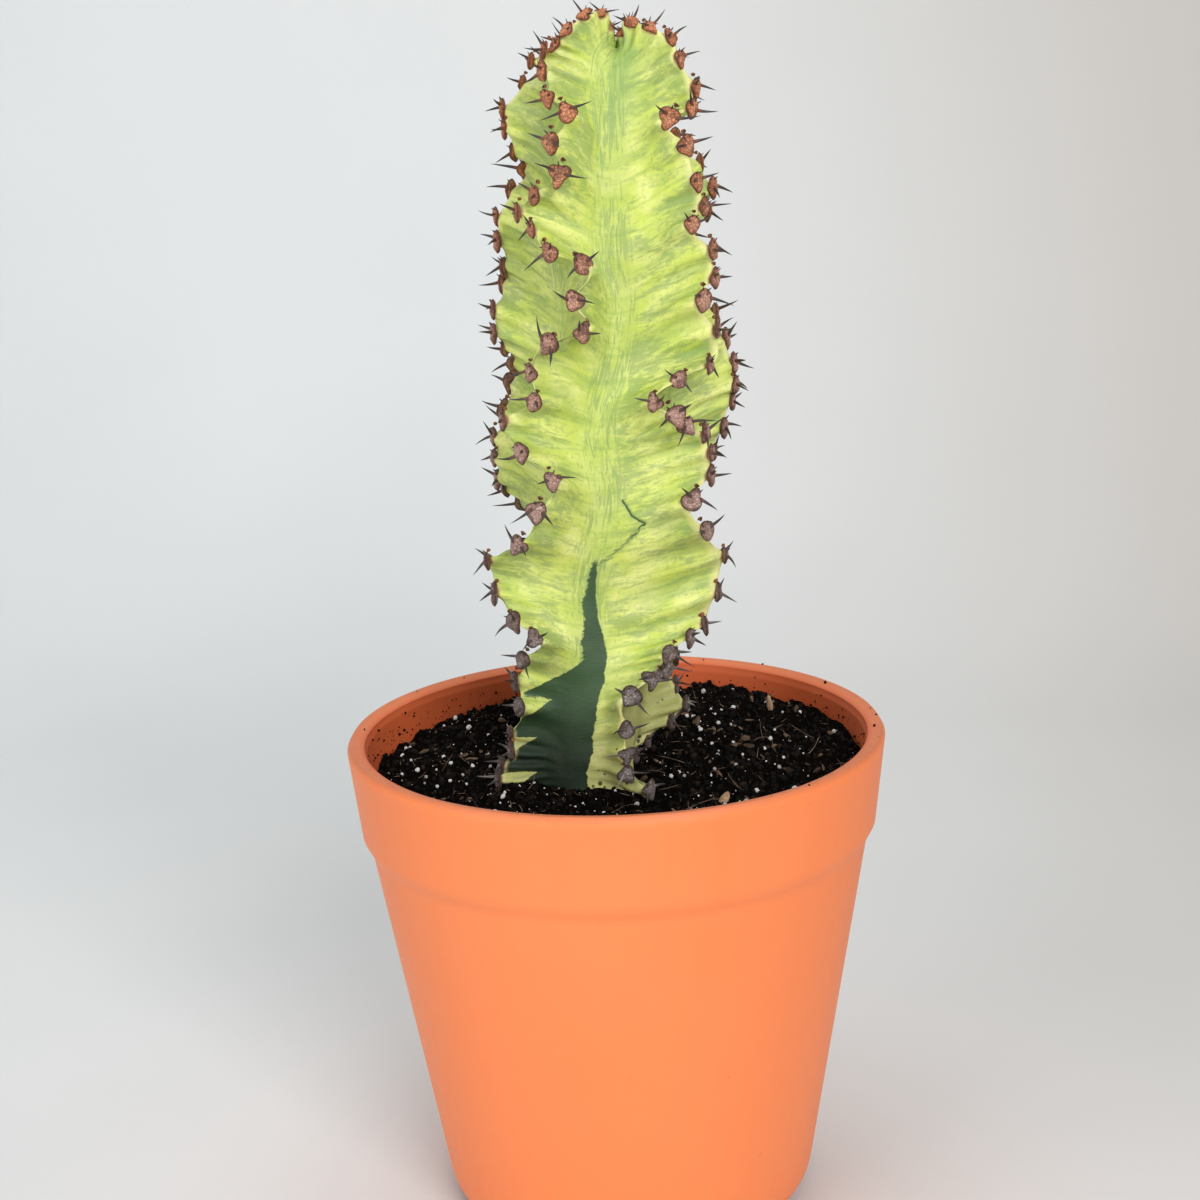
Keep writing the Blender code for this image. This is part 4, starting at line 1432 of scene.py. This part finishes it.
@dataclass(frozen=True)
class StemSkin:
    """Waxy variegated skin: lime and cream flanks, grey-green feathering, a dark green sector."""

    soil_level: float
    lime: Triple = (0.62, 0.71, 0.135)
    cream: Triple = (0.80, 0.83, 0.28)
    green: Triple = (0.40, 0.53, 0.110)
    feather: Triple = (0.235, 0.345, 0.125)
    dark: Triple = (0.034, 0.076, 0.030)
    black: Triple = (0.012, 0.024, 0.011)
    tan: Triple = (0.40, 0.38, 0.155)

    def coordinates(self, shade: Shade) -> dict:
        """What the pattern follows: distances in mm, the crest's share and the sectors' marks."""
        flow = shade.node("ShaderNodeUVMap", uv_map="flow").outputs[0]
        parts = shade.node("ShaderNodeSeparateXYZ", {0: flow})
        place = shade.place()
        level = shade.node("ShaderNodeSeparateXYZ", {0: place}).outputs[2]
        return {
            "place": place,
            "across": shade.math("MULTIPLY_ADD", parts.outputs[0], 100.0, -50.0),
            "along": shade.times(parts.outputs[1], 100.0),
            "height": shade.math("MULTIPLY_ADD", level, 1000.0, -1000.0 * self.soil_level),
            "crest": shade.attribute("crest"),
            "front": shade.attribute("front"),
            "right": shade.attribute("right"),
        }

    def streaks(
        self, shade: Shade, at: dict, scale: Triple, *fractal: float
    ) -> Socket:
        """Noise drawn out along the rows or down the valley: scale is across, along and page."""
        across, along, page = scale
        vector = shade.node("ShaderNodeCombineXYZ", {
            0: shade.times(at["across"], across), 1: shade.times(at["along"], along), 2: page,
        })
        return shade.noise(vector.outputs[0], 1.0, *fractal)

    def feathering(self, shade: Shade, at: dict) -> tuple[Socket, Socket]:
        """Mask of the grey-green streaks: along the rows on the flank, upright in the valley."""
        slant = self.streaks(shade, at, (0.080, 0.33, 3.0), 6.0, 0.66, 0.9)
        fine = self.streaks(shade, at, (0.30, 1.05, 9.0), 5.0, 0.7, 0.6)
        upright = self.streaks(shade, at, (0.85, 0.085, 5.0), 6.0, 0.68, 1.3)
        patches = self.streaks(shade, at, (0.05, 0.045, 7.0), 3.0, 0.5, 0.3)
        side = shade.math("ABSOLUTE", at["across"])
        in_valley = shade.between(side, 10.0, 2.5)
        flank = shade.plus(shade.times(slant, 0.66), shade.times(fine, 0.34))
        streak = shade.node(
            "ShaderNodeMix", {0: in_valley, 2: flank, 3: upright}, data_type="FLOAT"
        ).outputs[0]
        bias = shade.math("MULTIPLY_ADD", shade.minus(patches, 0.5), 0.45, streak)
        return shade.between(bias, 0.46, 0.60), in_valley

    def dark_sector(self, shade: Shade, at: dict) -> Socket:
        """Mask of the dark green sector at the foot of the front valley.

        Its right edge is nearly straight. Its left edge runs out to the rib in big pointed steps
        with fine jags, from nothing at the top of the sector.
        """
        height, across = at["height"], at["across"]
        share = shade.math("DIVIDE", height, self.SECTOR_HEIGHT, clamp=True)
        reach = shade.node("ShaderNodeFloatCurve", {1: share})
        curve = reach.mapping.curves[0]
        stops = self.SECTOR_REACH
        curve.points[0].location = stops[0]
        curve.points[-1].location = stops[-1]
        for stop in stops[1:-1]:
            curve.points.new(*stop)
        reach.mapping.update()
        width = shade.times(reach.outputs[0], self.SECTOR_WIDTH)
        saw = shade.math("PINGPONG", shade.plus(height, shade.times(across, -0.35)), 6.3)
        steps = shade.times(shade.math("MULTIPLY_ADD", saw, -0.16, 0.5),
                           shade.times(width, 0.8))
        jag = self.streaks(shade, at, (0.25, 0.75, 15.0), 5.0, 0.85)
        jag = shade.math("MULTIPLY_ADD", shade.minus(jag, 0.5), 5.0, steps)
        left = shade.plus(shade.plus(across, width), jag)
        wander = self.streaks(shade, at, (0.02, 0.13, 19.0), 4.0, 0.7)
        bend = shade.minus(shade.between(height, 85.0, 30.0, 1.2, 7.2),
                          shade.between(height, 12.0, 0.0, 0.0, 3.0))
        right = shade.math("MULTIPLY_ADD", shade.minus(wander, 0.5), 3.4, bend)
        right = shade.minus(right, across)
        inside = shade.times(shade.between(left, -0.25, 0.35), shade.between(right, -0.25, 0.35))
        below = shade.between(height, 79.0, 76.0)
        return shade.times(shade.times(inside, below), at["front"])

    def material(self) -> Material:
        """Colour from the patterns above with relief to match, slightly translucent."""
        made, shade = start_material("stem_skin", {
            "IOR": 1.42, "Specular IOR Level": 0.46, "Subsurface Weight": 0.08,
            "Subsurface Scale": 0.0035, "Coat Roughness": 0.35,
        })
        shader = made.node_tree.nodes["Principled BSDF"]
        shader.inputs["Subsurface Radius"].default_value = (0.8, 1.0, 0.25)
        at = self.coordinates(shade)
        place, height, crest = at["place"], at["height"], at["crest"]
        feather, in_valley = self.feathering(shade, at)
        broad = self.streaks(shade, at, (0.075, 0.11, 1.0), 4.0, 0.55, 0.4)
        colour = shade.mix(shade.between(broad, 0.34, 0.66), self.lime, self.cream)
        veil = self.streaks(shade, at, (0.05, 0.30, 27.0), 4.0, 0.6, 0.5)
        colour = shade.mix(shade.between(veil, 0.45, 0.72, 0.0, 0.75), colour, self.green)
        # Darker green in the hollows of the relief: painted shade.
        hollow_shade = shade.between(shade.attribute("relief"), 0.15, -0.75, 0.0, 0.42)
        colour = shade.mix(hollow_shade, colour, (0.25, 0.38, 0.085))
        colour = shade.tint(colour, self.green, in_valley, 0.40)
        colour = shade.tint(colour, self.feather, feather, 0.62)
        dots = shade.clouds(place, 620.0, 2.6, 3.0)
        colour = shade.mix(shade.between(dots, 0.60, 0.95, 0.0, 0.30), colour, self.feather)
        tip_green = shade.times(shade.between(height, 206.0, 246.0), at["front"])
        tip_green = shade.times(tip_green, shade.between(at["across"], -1.5, 3.0))
        tip_green = shade.times(tip_green, shade.between(at["across"], 16.0, 6.0))
        colour = shade.tint(colour, (0.20, 0.36, 0.10), tip_green, 0.6)
        edge = shade.between(crest, 0.90, 0.985)
        colour = shade.tint(colour, (0.82, 0.80, 0.33), edge, 0.7)
        dark = self.dark_sector(shade, at)
        blotches = shade.clouds(place, 90.0, 1.8)
        shadow = shade.mix(blotches, self.dark, (0.060, 0.115, 0.050))
        shadow = shade.mix(shade.between(height, 38.0, 2.0), shadow, self.black)
        colour = shade.mix(dark, colour, shadow)
        colour = self.foot_stains(shade, at, colour, dark)
        near = shade.attribute("cushion_near")
        colour = shade.mix(shade.between(near, 0.18, 0.55, 0.0, 0.55), colour, (0.83, 0.78, 0.34))
        colour = shade.mix(shade.between(near, 0.42, 0.72, 0.0, 0.85), colour, (0.33, 0.12, 0.055))
        scar = shade.attribute("scar_near")
        colour = shade.mix(shade.between(scar, 0.12, 0.35, 0.0, 0.8), colour, (0.80, 0.66, 0.26))
        colour = shade.mix(shade.between(scar, 0.40, 0.62, 0.0, 0.9), colour, (0.24, 0.085, 0.035))
        fissure = self.fissure(shade, at)
        colour = shade.mix(shade.between(fissure, 1.5, 0.5, 0.0, 0.5), colour, (0.33, 0.45, 0.12))
        strong = shade.between(height, 82.0, 90.0, 0.45, 1.0)
        line = shade.times(shade.between(fissure, 0.50, 0.18), strong)
        colour = shade.mix(line, colour, (0.065, 0.125, 0.055))
        specks = shade.spots(place, 170.0, 0.05, 0.09)
        colour = shade.tint(colour, (0.07, 0.075, 0.04), specks, 0.7)
        relief = self.streaks(shade, at, (0.5, 2.4, 2.0), 4.0, 0.6, 0.3)
        pores = shade.noise(place, 1700.0, 3.0, 0.6)
        normal = shade.bump(relief, 0.32, 0.0007)
        normal = shade.bump(feather, 0.14, 0.0004, normal)
        normal = shade.bump(shade.between(fissure, 0.0, 0.9), 0.6, 0.0006, normal)
        normal = shade.bump(pores, 0.16, 0.00025, normal)
        rough = shade.between(relief, 0.3, 0.7, 0.40, 0.54, False)
        rough = shade.plus(rough, shade.between(height, 30.0, 0.0, 0.0, 0.16), clamp=True)
        return finish_material(made, shade, Base_Color=colour, Roughness=rough, Normal=normal)

    SECTOR_HEIGHT = 80.0
    SECTOR_WIDTH = 26.0
    SECTOR_REACH = ((0.0, 1.0), (0.14, 0.96), (0.28, 0.78), (0.42, 0.46), (0.50, 0.22),
                    (0.57, 0.10), (0.80, 0.04), (1.0, 0.0))
    FISSURE = ((7.0, 98.0), (10.8, 93.2), (16.0, 90.6), (11.4, 85.2), (5.2, 78.5), (2.2, 76.0))

    def fissure(self, shade: Shade, at: dict) -> Socket:
        """Distance in mm to the crooked crack above the dark sector, far away elsewhere."""
        warp = self.streaks(shade, at, (0.5, 0.5, 41.0), 3.0, 0.6)
        point = shade.node("ShaderNodeCombineXYZ", {
            0: shade.math("MULTIPLY_ADD", warp, 3.0, shade.minus(at["across"], 1.5)),
            1: shade.math("MULTIPLY_ADD", warp, -2.6, shade.plus(at["height"], 1.3)),
        }).outputs[0]
        nearest = shade.math("MULTIPLY_ADD", at["front"], -100.0, 100.0)
        distance = None
        for start, end in zip(self.FISSURE, self.FISSURE[1:]):
            run = Vector((end[0] - start[0], end[1] - start[1], 0.0))
            offset = shade.vectors("SUBTRACT", {0: point, 1: (*start, 0.0)})
            along = shade.vectors(
                "DOT_PRODUCT", {0: offset, 1: run / run.length_squared}, "Value"
            )
            foot = shade.vectors("SCALE", {0: run, "Scale": shade.plus(along, 0.0, clamp=True)})
            gap = shade.vectors("DISTANCE", {0: offset, 1: foot}, "Value")
            distance = gap if distance is None else shade.math("MINIMUM", distance, gap)
        return shade.plus(distance, nearest)

    def foot_stains(self, shade: Shade, at: dict, colour, dark) -> Socket:
        """Corky tan and soil spots near the soil, mostly away from the dark sector."""
        place, height = at["place"], at["height"]
        cork = shade.noise(shade.stretched(place, (130.0, 130.0, 70.0)), 1.0, 5.0, 0.65, 0.5)
        low = shade.between(height, 46.0, 2.0)
        share = shade.times(shade.between(cork, 0.42, 0.62), low)
        share = shade.math("MAXIMUM", share, shade.between(height, 32.0, 8.0, 0.0, 0.85))
        lobe = shade.times(at["right"], shade.between(height, 42.0, 30.0))
        share = shade.math("MAXIMUM", share, lobe)
        share = shade.times(share, shade.minus(1.0, dark))
        colour = shade.tint(colour, self.tan, share, 0.75)
        top = shade.math("MULTIPLY_ADD", at["right"], 14.0, 20.0)
        amount = shade.times(shade.between(shade.minus(top, height), 0.0, 14.0), 0.55)
        soil = shade.spots(place, 420.0, amount, 0.45)
        patch = shade.between(shade.noise(place, 95.0, 4.0, 0.6), 0.46, 0.53)
        soil = shade.times(soil, patch)
        return shade.mix(shade.times(soil, 0.9), colour, (0.022, 0.016, 0.012))


# ---- cushions, spines and scars ----


@dataclass(frozen=True)
class CorkAndSpine:
    """Finishes of the spine cushions, the spines and the bud scars."""

    def cushion(self) -> Material:
        """Corky shield: rusty when young, mauve-brown, then grey at the foot."""
        made, shade = start_material("spine_cushion", {"Specular IOR Level": 0.35})
        place = shade.place()
        age, dome = shade.attribute("age"), shade.attribute("dome")
        colour = shade.ramp(age, [
            (0.0, (0.56, 0.165, 0.062)), (0.22, (0.52, 0.175, 0.078)), (0.42, (0.40, 0.180, 0.120)),
            (0.66, (0.33, 0.185, 0.150)), (0.84, (0.16, 0.115, 0.100)), (1.0, (0.10, 0.080, 0.072)),
        ])
        pale = shade.ramp(age, [
            (0.0, (0.78, 0.30, 0.135)), (0.25, (0.74, 0.34, 0.19)), (0.42, (0.66, 0.38, 0.28)),
            (0.7, (0.60, 0.42, 0.36)), (0.86, (0.36, 0.31, 0.29)), (1.0, (0.30, 0.26, 0.25)),
        ])
        own = shade.math("MULTIPLY_ADD", shade.attribute("tone"), 0.5, 0.1)
        crust = shade.clouds(place, 420.0, 3.4)
        crusted = shade.plus(own, shade.times(crust, 0.7))
        share = shade.times(shade.between(dome, 0.12, 0.75), crusted, clamp=True)
        colour = shade.mix(share, colour, pale)
        stain = shade.clouds(place, 300.0, 3.6, 1.5)
        colour = shade.mix(shade.between(stain, 0.62, 0.95, 0.0, 0.55), colour, (0.11, 0.05, 0.035))
        rim = shade.between(dome, 0.26, 0.02)
        colour = shade.tint(colour, (0.09, 0.040, 0.026), rim, 0.8)
        cracks = shade.node("ShaderNodeTexVoronoi", {"Vector": place, "Scale": 900.0},
                            feature="DISTANCE_TO_EDGE").outputs["Distance"]
        cracks = shade.between(cracks, 0.12, 0.0)
        colour = shade.tint(colour, (0.07, 0.035, 0.025), cracks, 0.38)
        height = shade.minus(crust, shade.times(cracks, 0.5))
        normal = shade.bump(height, 0.9, 0.0008)
        return finish_material(made, shade, Base_Color=colour, Roughness=0.62, Normal=normal)

    def spine(self) -> Material:
        """Dry spine: brown at the root, dark slate along, paler at the very tip."""
        made, shade = start_material("spine", {"Specular IOR Level": 0.5})
        along = shade.attribute("along")
        age = shade.attribute("age")
        root = shade.ramp(age, [(0.0, (0.22, 0.062, 0.026)), (0.6, (0.13, 0.060, 0.042)),
                                (1.0, (0.15, 0.125, 0.115))])
        colour = shade.mix(shade.between(along, 0.0, 0.42), root, (0.034, 0.026, 0.026))
        pale = shade.between(shade.attribute("tone"), 0.70, 0.95)
        pale = shade.times(pale, shade.between(age, 0.74, 0.9))
        colour = shade.tint(colour, (0.48, 0.44, 0.40), pale, 0.8)
        grain = shade.noise(shade.place(), 1500.0, 3.0)
        colour = shade.mix(shade.between(grain, 0.4, 0.75, 0.0, 0.3), colour, (0.12, 0.085, 0.075))
        normal = shade.bump(grain, 0.3, 0.0002)
        return finish_material(made, shade, Base_Color=colour, Roughness=0.48, Normal=normal)

    def scar(self) -> Material:
        """Bud scar: a dark dry dimple with a rusty rim."""
        made, shade = start_material("bud_scar", {"Specular IOR Level": 0.3})
        dome = shade.attribute("dome")
        crust = shade.clouds(shade.place(), 1100.0, 2.2)
        dimple = shade.between(dome, 0.3, 0.8)
        colour = shade.mix(dimple, (0.22, 0.085, 0.03), (0.035, 0.018, 0.012))
        colour = shade.tint(colour, (0.15, 0.07, 0.035), crust, 0.3)
        normal = shade.bump(crust, 0.6, 0.0003)
        return finish_material(made, shade, Base_Color=colour, Roughness=0.7, Normal=normal)


@dataclass
class SpineCushions:
    """The shield-shaped cushions on the crests, with their spines, prickles and scars."""

    frames: CushionFrames
    half_width: float = 2.9 * MM
    half_height: float = 3.3 * MM
    bulge: float = 1.4 * MM
    sink: float = 0.5 * MM
    hug: float = 50.0
    around: int = 22
    seed: int = 8

    def domes(
        self, frames: CushionFrames, half_width: float, half_height: float, bulge: float,
        dimple: float, seed: int,
    ) -> Surface:
        """A closed dome on each frame.

        Ring r of a dome runs round a rounded shield: x = w c (1 - 0.16 s), y = h s, with c and s
        the cosine and sine of the angle, both scaled by r. It stands out by
        bulge (1 - r^2.6)^0.6 less a dimple in the middle, and the last rings go back into the skin.

        Args:
            frames: Where the domes sit.
            half_width: w.
            half_height: h.
            bulge: Height of the dome.
            dimple: Depth of the dimple, as a share of the bulge.
            seed: For the lumps on it.

        Returns:
            All domes as one surface, with dome (1 in the middle), age and tone painted on.
        """
        count = len(frames.size)
        angle = 2 * np.pi * np.arange(self.around) / self.around
        radius = np.array([0.22, 0.45, 0.66, 0.82, 0.93, 1.0, 0.80])
        stand = bulge * (1 - np.minimum(radius, 1.0) ** 2.6) ** 0.6
        stand -= bulge * dimple * np.exp(-((radius / 0.3) ** 2))
        stand[-1] = -0.6 * MM
        c, s = np.cos(angle), np.sin(angle)
        shield = 1 + 0.10 * np.cos(2 * angle) ** 2
        x = half_width * c * (1 + 0.16 * s) * shield
        y = half_height * s * shield
        rng = np.random.default_rng(seed)
        wobble = 1 + 0.10 * rng.normal(size=(count, 1, 4)) @ np.stack(
            [np.cos(angle), np.sin(angle), np.cos(3 * angle), np.sin(3 * angle)])
        size = frames.size[:, None, None]
        across = size * radius[None, :, None] * (x * wobble)
        along = size * radius[None, :, None] * (y * wobble)
        grain = layered_noise(frames.place(across, along, 0 * across), 1.1 * MM, seed, 2)
        out = size * stand[None, :, None] + 0.30 * bulge * grain * (radius < 0.95)[None, :, None]
        out -= self.sink + self.hug * across**2
        body = frames.place(across, along, out).reshape(count, -1, 3)
        zero = np.zeros((count, 1))
        middle = frames.size[:, None] * bulge * (1 - dimple) - self.sink
        front = frames.place(zero, zero, middle)
        back = frames.place(zero, zero, zero - 1.5 * MM)
        points = np.concatenate([body, front, back], axis=1)
        per = points.shape[1]
        ring = np.arange(self.around)
        quads = grid_faces(len(radius), self.around)[:, ::-1]
        last = ring[::-1] + (len(radius) - 1) * self.around
        fans = np.concatenate([fan_faces(ring, per - 2), fan_faces(last, per - 1)])
        shift = np.arange(count)[:, None, None] * per
        height = np.clip(1.0 - radius**2, 0.0, 1.0)
        dome = np.concatenate([np.repeat(height, self.around), [1.0, 0.0]])
        return Surface(
            points.reshape(-1, 3),
            (quads[None] + shift).reshape(-1, 4),
            (fans[None] + shift).reshape(-1, 3),
            {"dome": np.tile(dome, count), "age": np.repeat(frames.age, per),
             "tone": np.repeat(rng.random(count), per)},
        )

    def spines(self) -> Surface:
        """Two main spines a cushion, from its upper sides, and two short prickles above them."""
        rng = np.random.default_rng(self.seed)
        frames, parts = self.frames, []
        count = len(frames.size)
        for sign in (-1.0, 1.0):
            jitter = rng.normal(0, 0.15, (count, 3))
            along = rng.uniform(-0.38, 0.42, count)
            directions = unit(sign * 0.82 * frames.side + 0.60 * frames.outward
                              + along[:, None] * frames.up + jitter)
            roots = frames.place(sign * 1.55 * MM * frames.size, 0.75 * MM * frames.size,
                                 0.15 * MM * frames.size)
            lengths = (5.6 + rng.uniform(0, 2.3, count)) * MM * np.clip(frames.size, 0.7, 1.1)
            bends = 0.12 * rng.normal(size=(count, 3))
            parts.append(bent_spikes(roots, directions, bends, lengths,
                                     0.60 * MM * frames.size, 8, 8))
        for sign in (-1.0, 1.0):
            directions = unit(sign * 0.35 * frames.side + 0.55 * frames.outward + 0.6 * frames.up
                              + rng.normal(0, 0.15, (count, 3)))
            roots = frames.place(sign * 0.75 * MM * frames.size, 2.6 * MM * frames.size,
                                 0.1 * MM * frames.size)
            lengths = rng.uniform(1.1, 2.0, count) * MM
            parts.append(bent_spikes(roots, directions, np.zeros((count, 3)), lengths,
                                     0.34 * MM * frames.size, 6, 4))
        for made in parts:
            per = len(made.points) // count
            made.values["age"] = np.repeat(frames.age, per)
            made.values["tone"] = np.repeat(rng.random(count), per)
        return joined(parts)

    def scars(self) -> Surface:
        """A small dimpled dome above each cushion."""
        frames = self.frames
        keep = np.random.default_rng(self.seed).random(len(frames.size)) < 0.62
        moved = CushionFrames(frames.place(*scar_offset(frames))[keep], frames.outward[keep],
                              frames.up[keep], frames.side[keep], frames.age[keep],
                              frames.size[keep])
        return self.domes(moved, 0.80 * MM, 0.58 * MM, 0.5 * MM, 0.75, SCAR_DOME_SEED)

    def build(self, finish: CorkAndSpine) -> None:
        """Make the three pieces."""
        domes = self.domes(
            self.frames, self.half_width, self.half_height, self.bulge, 0.12, self.seed
        )
        add_piece("spine_cushions", domes, finish.cushion())
        add_piece("spines", self.spines(), finish.spine())
        add_piece("bud_scars", self.scars(), finish.scar())


# ---- studio ----


class LightRole(Enum):
    """What each soft light is for: (place, aim height, size, power), in metres and watts."""

    KEY = ((0.62, -1.75, 1.05), 0.20, 0.9, 29.0)
    FILL = ((-1.45, -1.25, 0.75), 0.20, 1.3, 13.0)
    TOP = ((0.0, 0.10, 1.65), 0.25, 1.0, 2.5)
    WALL = ((0.0, 0.35, 1.9), 0.45, 1.6, 9.0)


@dataclass
class Studio:
    """Floor, backdrop, lights and camera."""

    rim_height: float
    distance: float = 0.7807
    elevation: float = 17.53
    pitch: float = 14.21
    yaw: float = -0.29
    roll: float = -2.19
    lens: float = 66.0
    sensor: float = 36.0
    world_strength: float = 0.30
    world_colour: tuple[float, ...] = (0.93, 0.95, 1.0, 1.0)

    def build(self) -> None:
        """Make the stage, the lights and the camera, and set the world's light."""
        self.build_backdrop()
        for role in LightRole:
            self.build_light(role)
        self.build_camera()
        world = bpy.data.worlds.new("studio")
        bpy.context.scene.world = world
        world.use_nodes = True
        light = world.node_tree.nodes["Background"].inputs
        light["Color"].default_value = self.world_colour
        light["Strength"].default_value = self.world_strength
        bpy.context.scene.view_settings.view_transform = "Standard"

    def build_backdrop(self) -> None:
        """A floor that curves up into a wall: height = rounded step of the distance back."""
        turn = np.linspace(0.1, 1, 16) * np.pi / 2
        back = [np.linspace(-2.2, 0.55, 12), 0.55 + 0.5 * np.sin(turn), np.full(8, 1.05)]
        rise = [np.zeros(12), 0.5 - 0.5 * np.cos(turn), np.linspace(0.75, 3.2, 8)]
        back, rise = np.concatenate(back), np.concatenate(rise)
        side = np.linspace(-2.6, 2.6, 8)
        points = np.stack(np.broadcast_arrays(side[None], back[:, None], rise[:, None]), axis=-1)
        quads = grid_faces(len(back), len(side), False)
        mesh = Surface(points.reshape(-1, 3), quads).to_mesh("backdrop")
        made, shade = start_material("backdrop_paint", {"Specular IOR Level": 0.2})
        place = shade.place()
        wash = shade.noise(place, 1.6, 3.0)
        colour = shade.mix(shade.between(wash, 0.3, 0.7), (0.69, 0.715, 0.71), (0.75, 0.765, 0.76))
        # Darker and warmer towards +X: painted shade across the backdrop.
        side = shade.node("ShaderNodeSeparateXYZ", {0: place}).outputs[0]
        colour = shade.mix(shade.between(side, -0.15, 0.75), colour, (0.56, 0.52, 0.48))
        normal = shade.bump(shade.noise(place, 60.0, 4.0), 0.05, 0.002)
        finish_material(made, shade, Base_Color=colour, Roughness=0.85, Normal=normal)
        mesh.materials.append(made)
        backdrop = bpy.data.objects.new("backdrop", mesh)
        bpy.context.scene.collection.objects.link(backdrop)

    def build_light(self, role: LightRole) -> None:
        """A large square light that faces the plant's middle."""
        place, aim, size, power = role.value
        data = bpy.data.lights.new(role.name.lower(), "AREA")
        data.size = size
        data.energy = power
        light = bpy.data.objects.new(role.name.lower(), data)
        light.location = place
        facing = Vector((0.0, 0.0 if role is not LightRole.WALL else 1.2, aim)) - Vector(place)
        light.rotation_euler = facing.to_track_quat("-Z", "Y").to_euler()
        bpy.context.scene.collection.objects.link(light)

    def build_camera(self) -> None:
        """A camera a little above the rim, looking slightly down, rolled a touch."""
        up_angle, pitch = math.radians(self.elevation), math.radians(self.pitch)
        yaw, roll = math.radians(self.yaw), math.radians(self.roll)
        place = Vector((0.0, -self.distance * math.cos(up_angle),
                        self.rim_height + self.distance * math.sin(up_angle)))
        level = math.cos(pitch)
        ahead = Vector((math.sin(yaw) * level, math.cos(yaw) * level, -math.sin(pitch)))
        right = Vector((math.cos(yaw), -math.sin(yaw), 0.0))
        up = right.cross(ahead)
        tilted_right = right * math.cos(roll) + up * math.sin(roll)
        tilted_up = up * math.cos(roll) - right * math.sin(roll)
        turn = Matrix((tilted_right, tilted_up, -ahead)).transposed().to_4x4()
        data = bpy.data.cameras.new("camera")
        data.lens = self.lens
        data.sensor_width = self.sensor
        data.clip_start = 0.05
        camera = bpy.data.objects.new("camera", data)
        camera.matrix_world = Matrix.Translation(place) @ turn
        bpy.context.scene.collection.objects.link(camera)
        bpy.context.scene.camera = camera


def main() -> None:
    """Build the studio and the object's pieces in order."""
    logging.basicConfig(level=logging.INFO, format="%(name)s %(message)s")
    layout = Layout.from_frame()
    speckle_group()
    mottle_group()
    Studio(layout.rim_height).build()
    pot = PlasticPot(layout)
    pot.build(PotPlastic(layout.rim_height).material())
    PeatBed(layout, pot).build(Peat(), PalePieces())
    stem = WavyStem(layout)
    cushions = stem.cushion_frames()
    skin = StemSkin(layout.soil_level).material()
    add_piece("stem", stem.surface(cushions), skin, ["cactus_stem"])
    SpineCushions(cushions).build(CorkAndSpine())


if __name__ == "__main__":
    main()
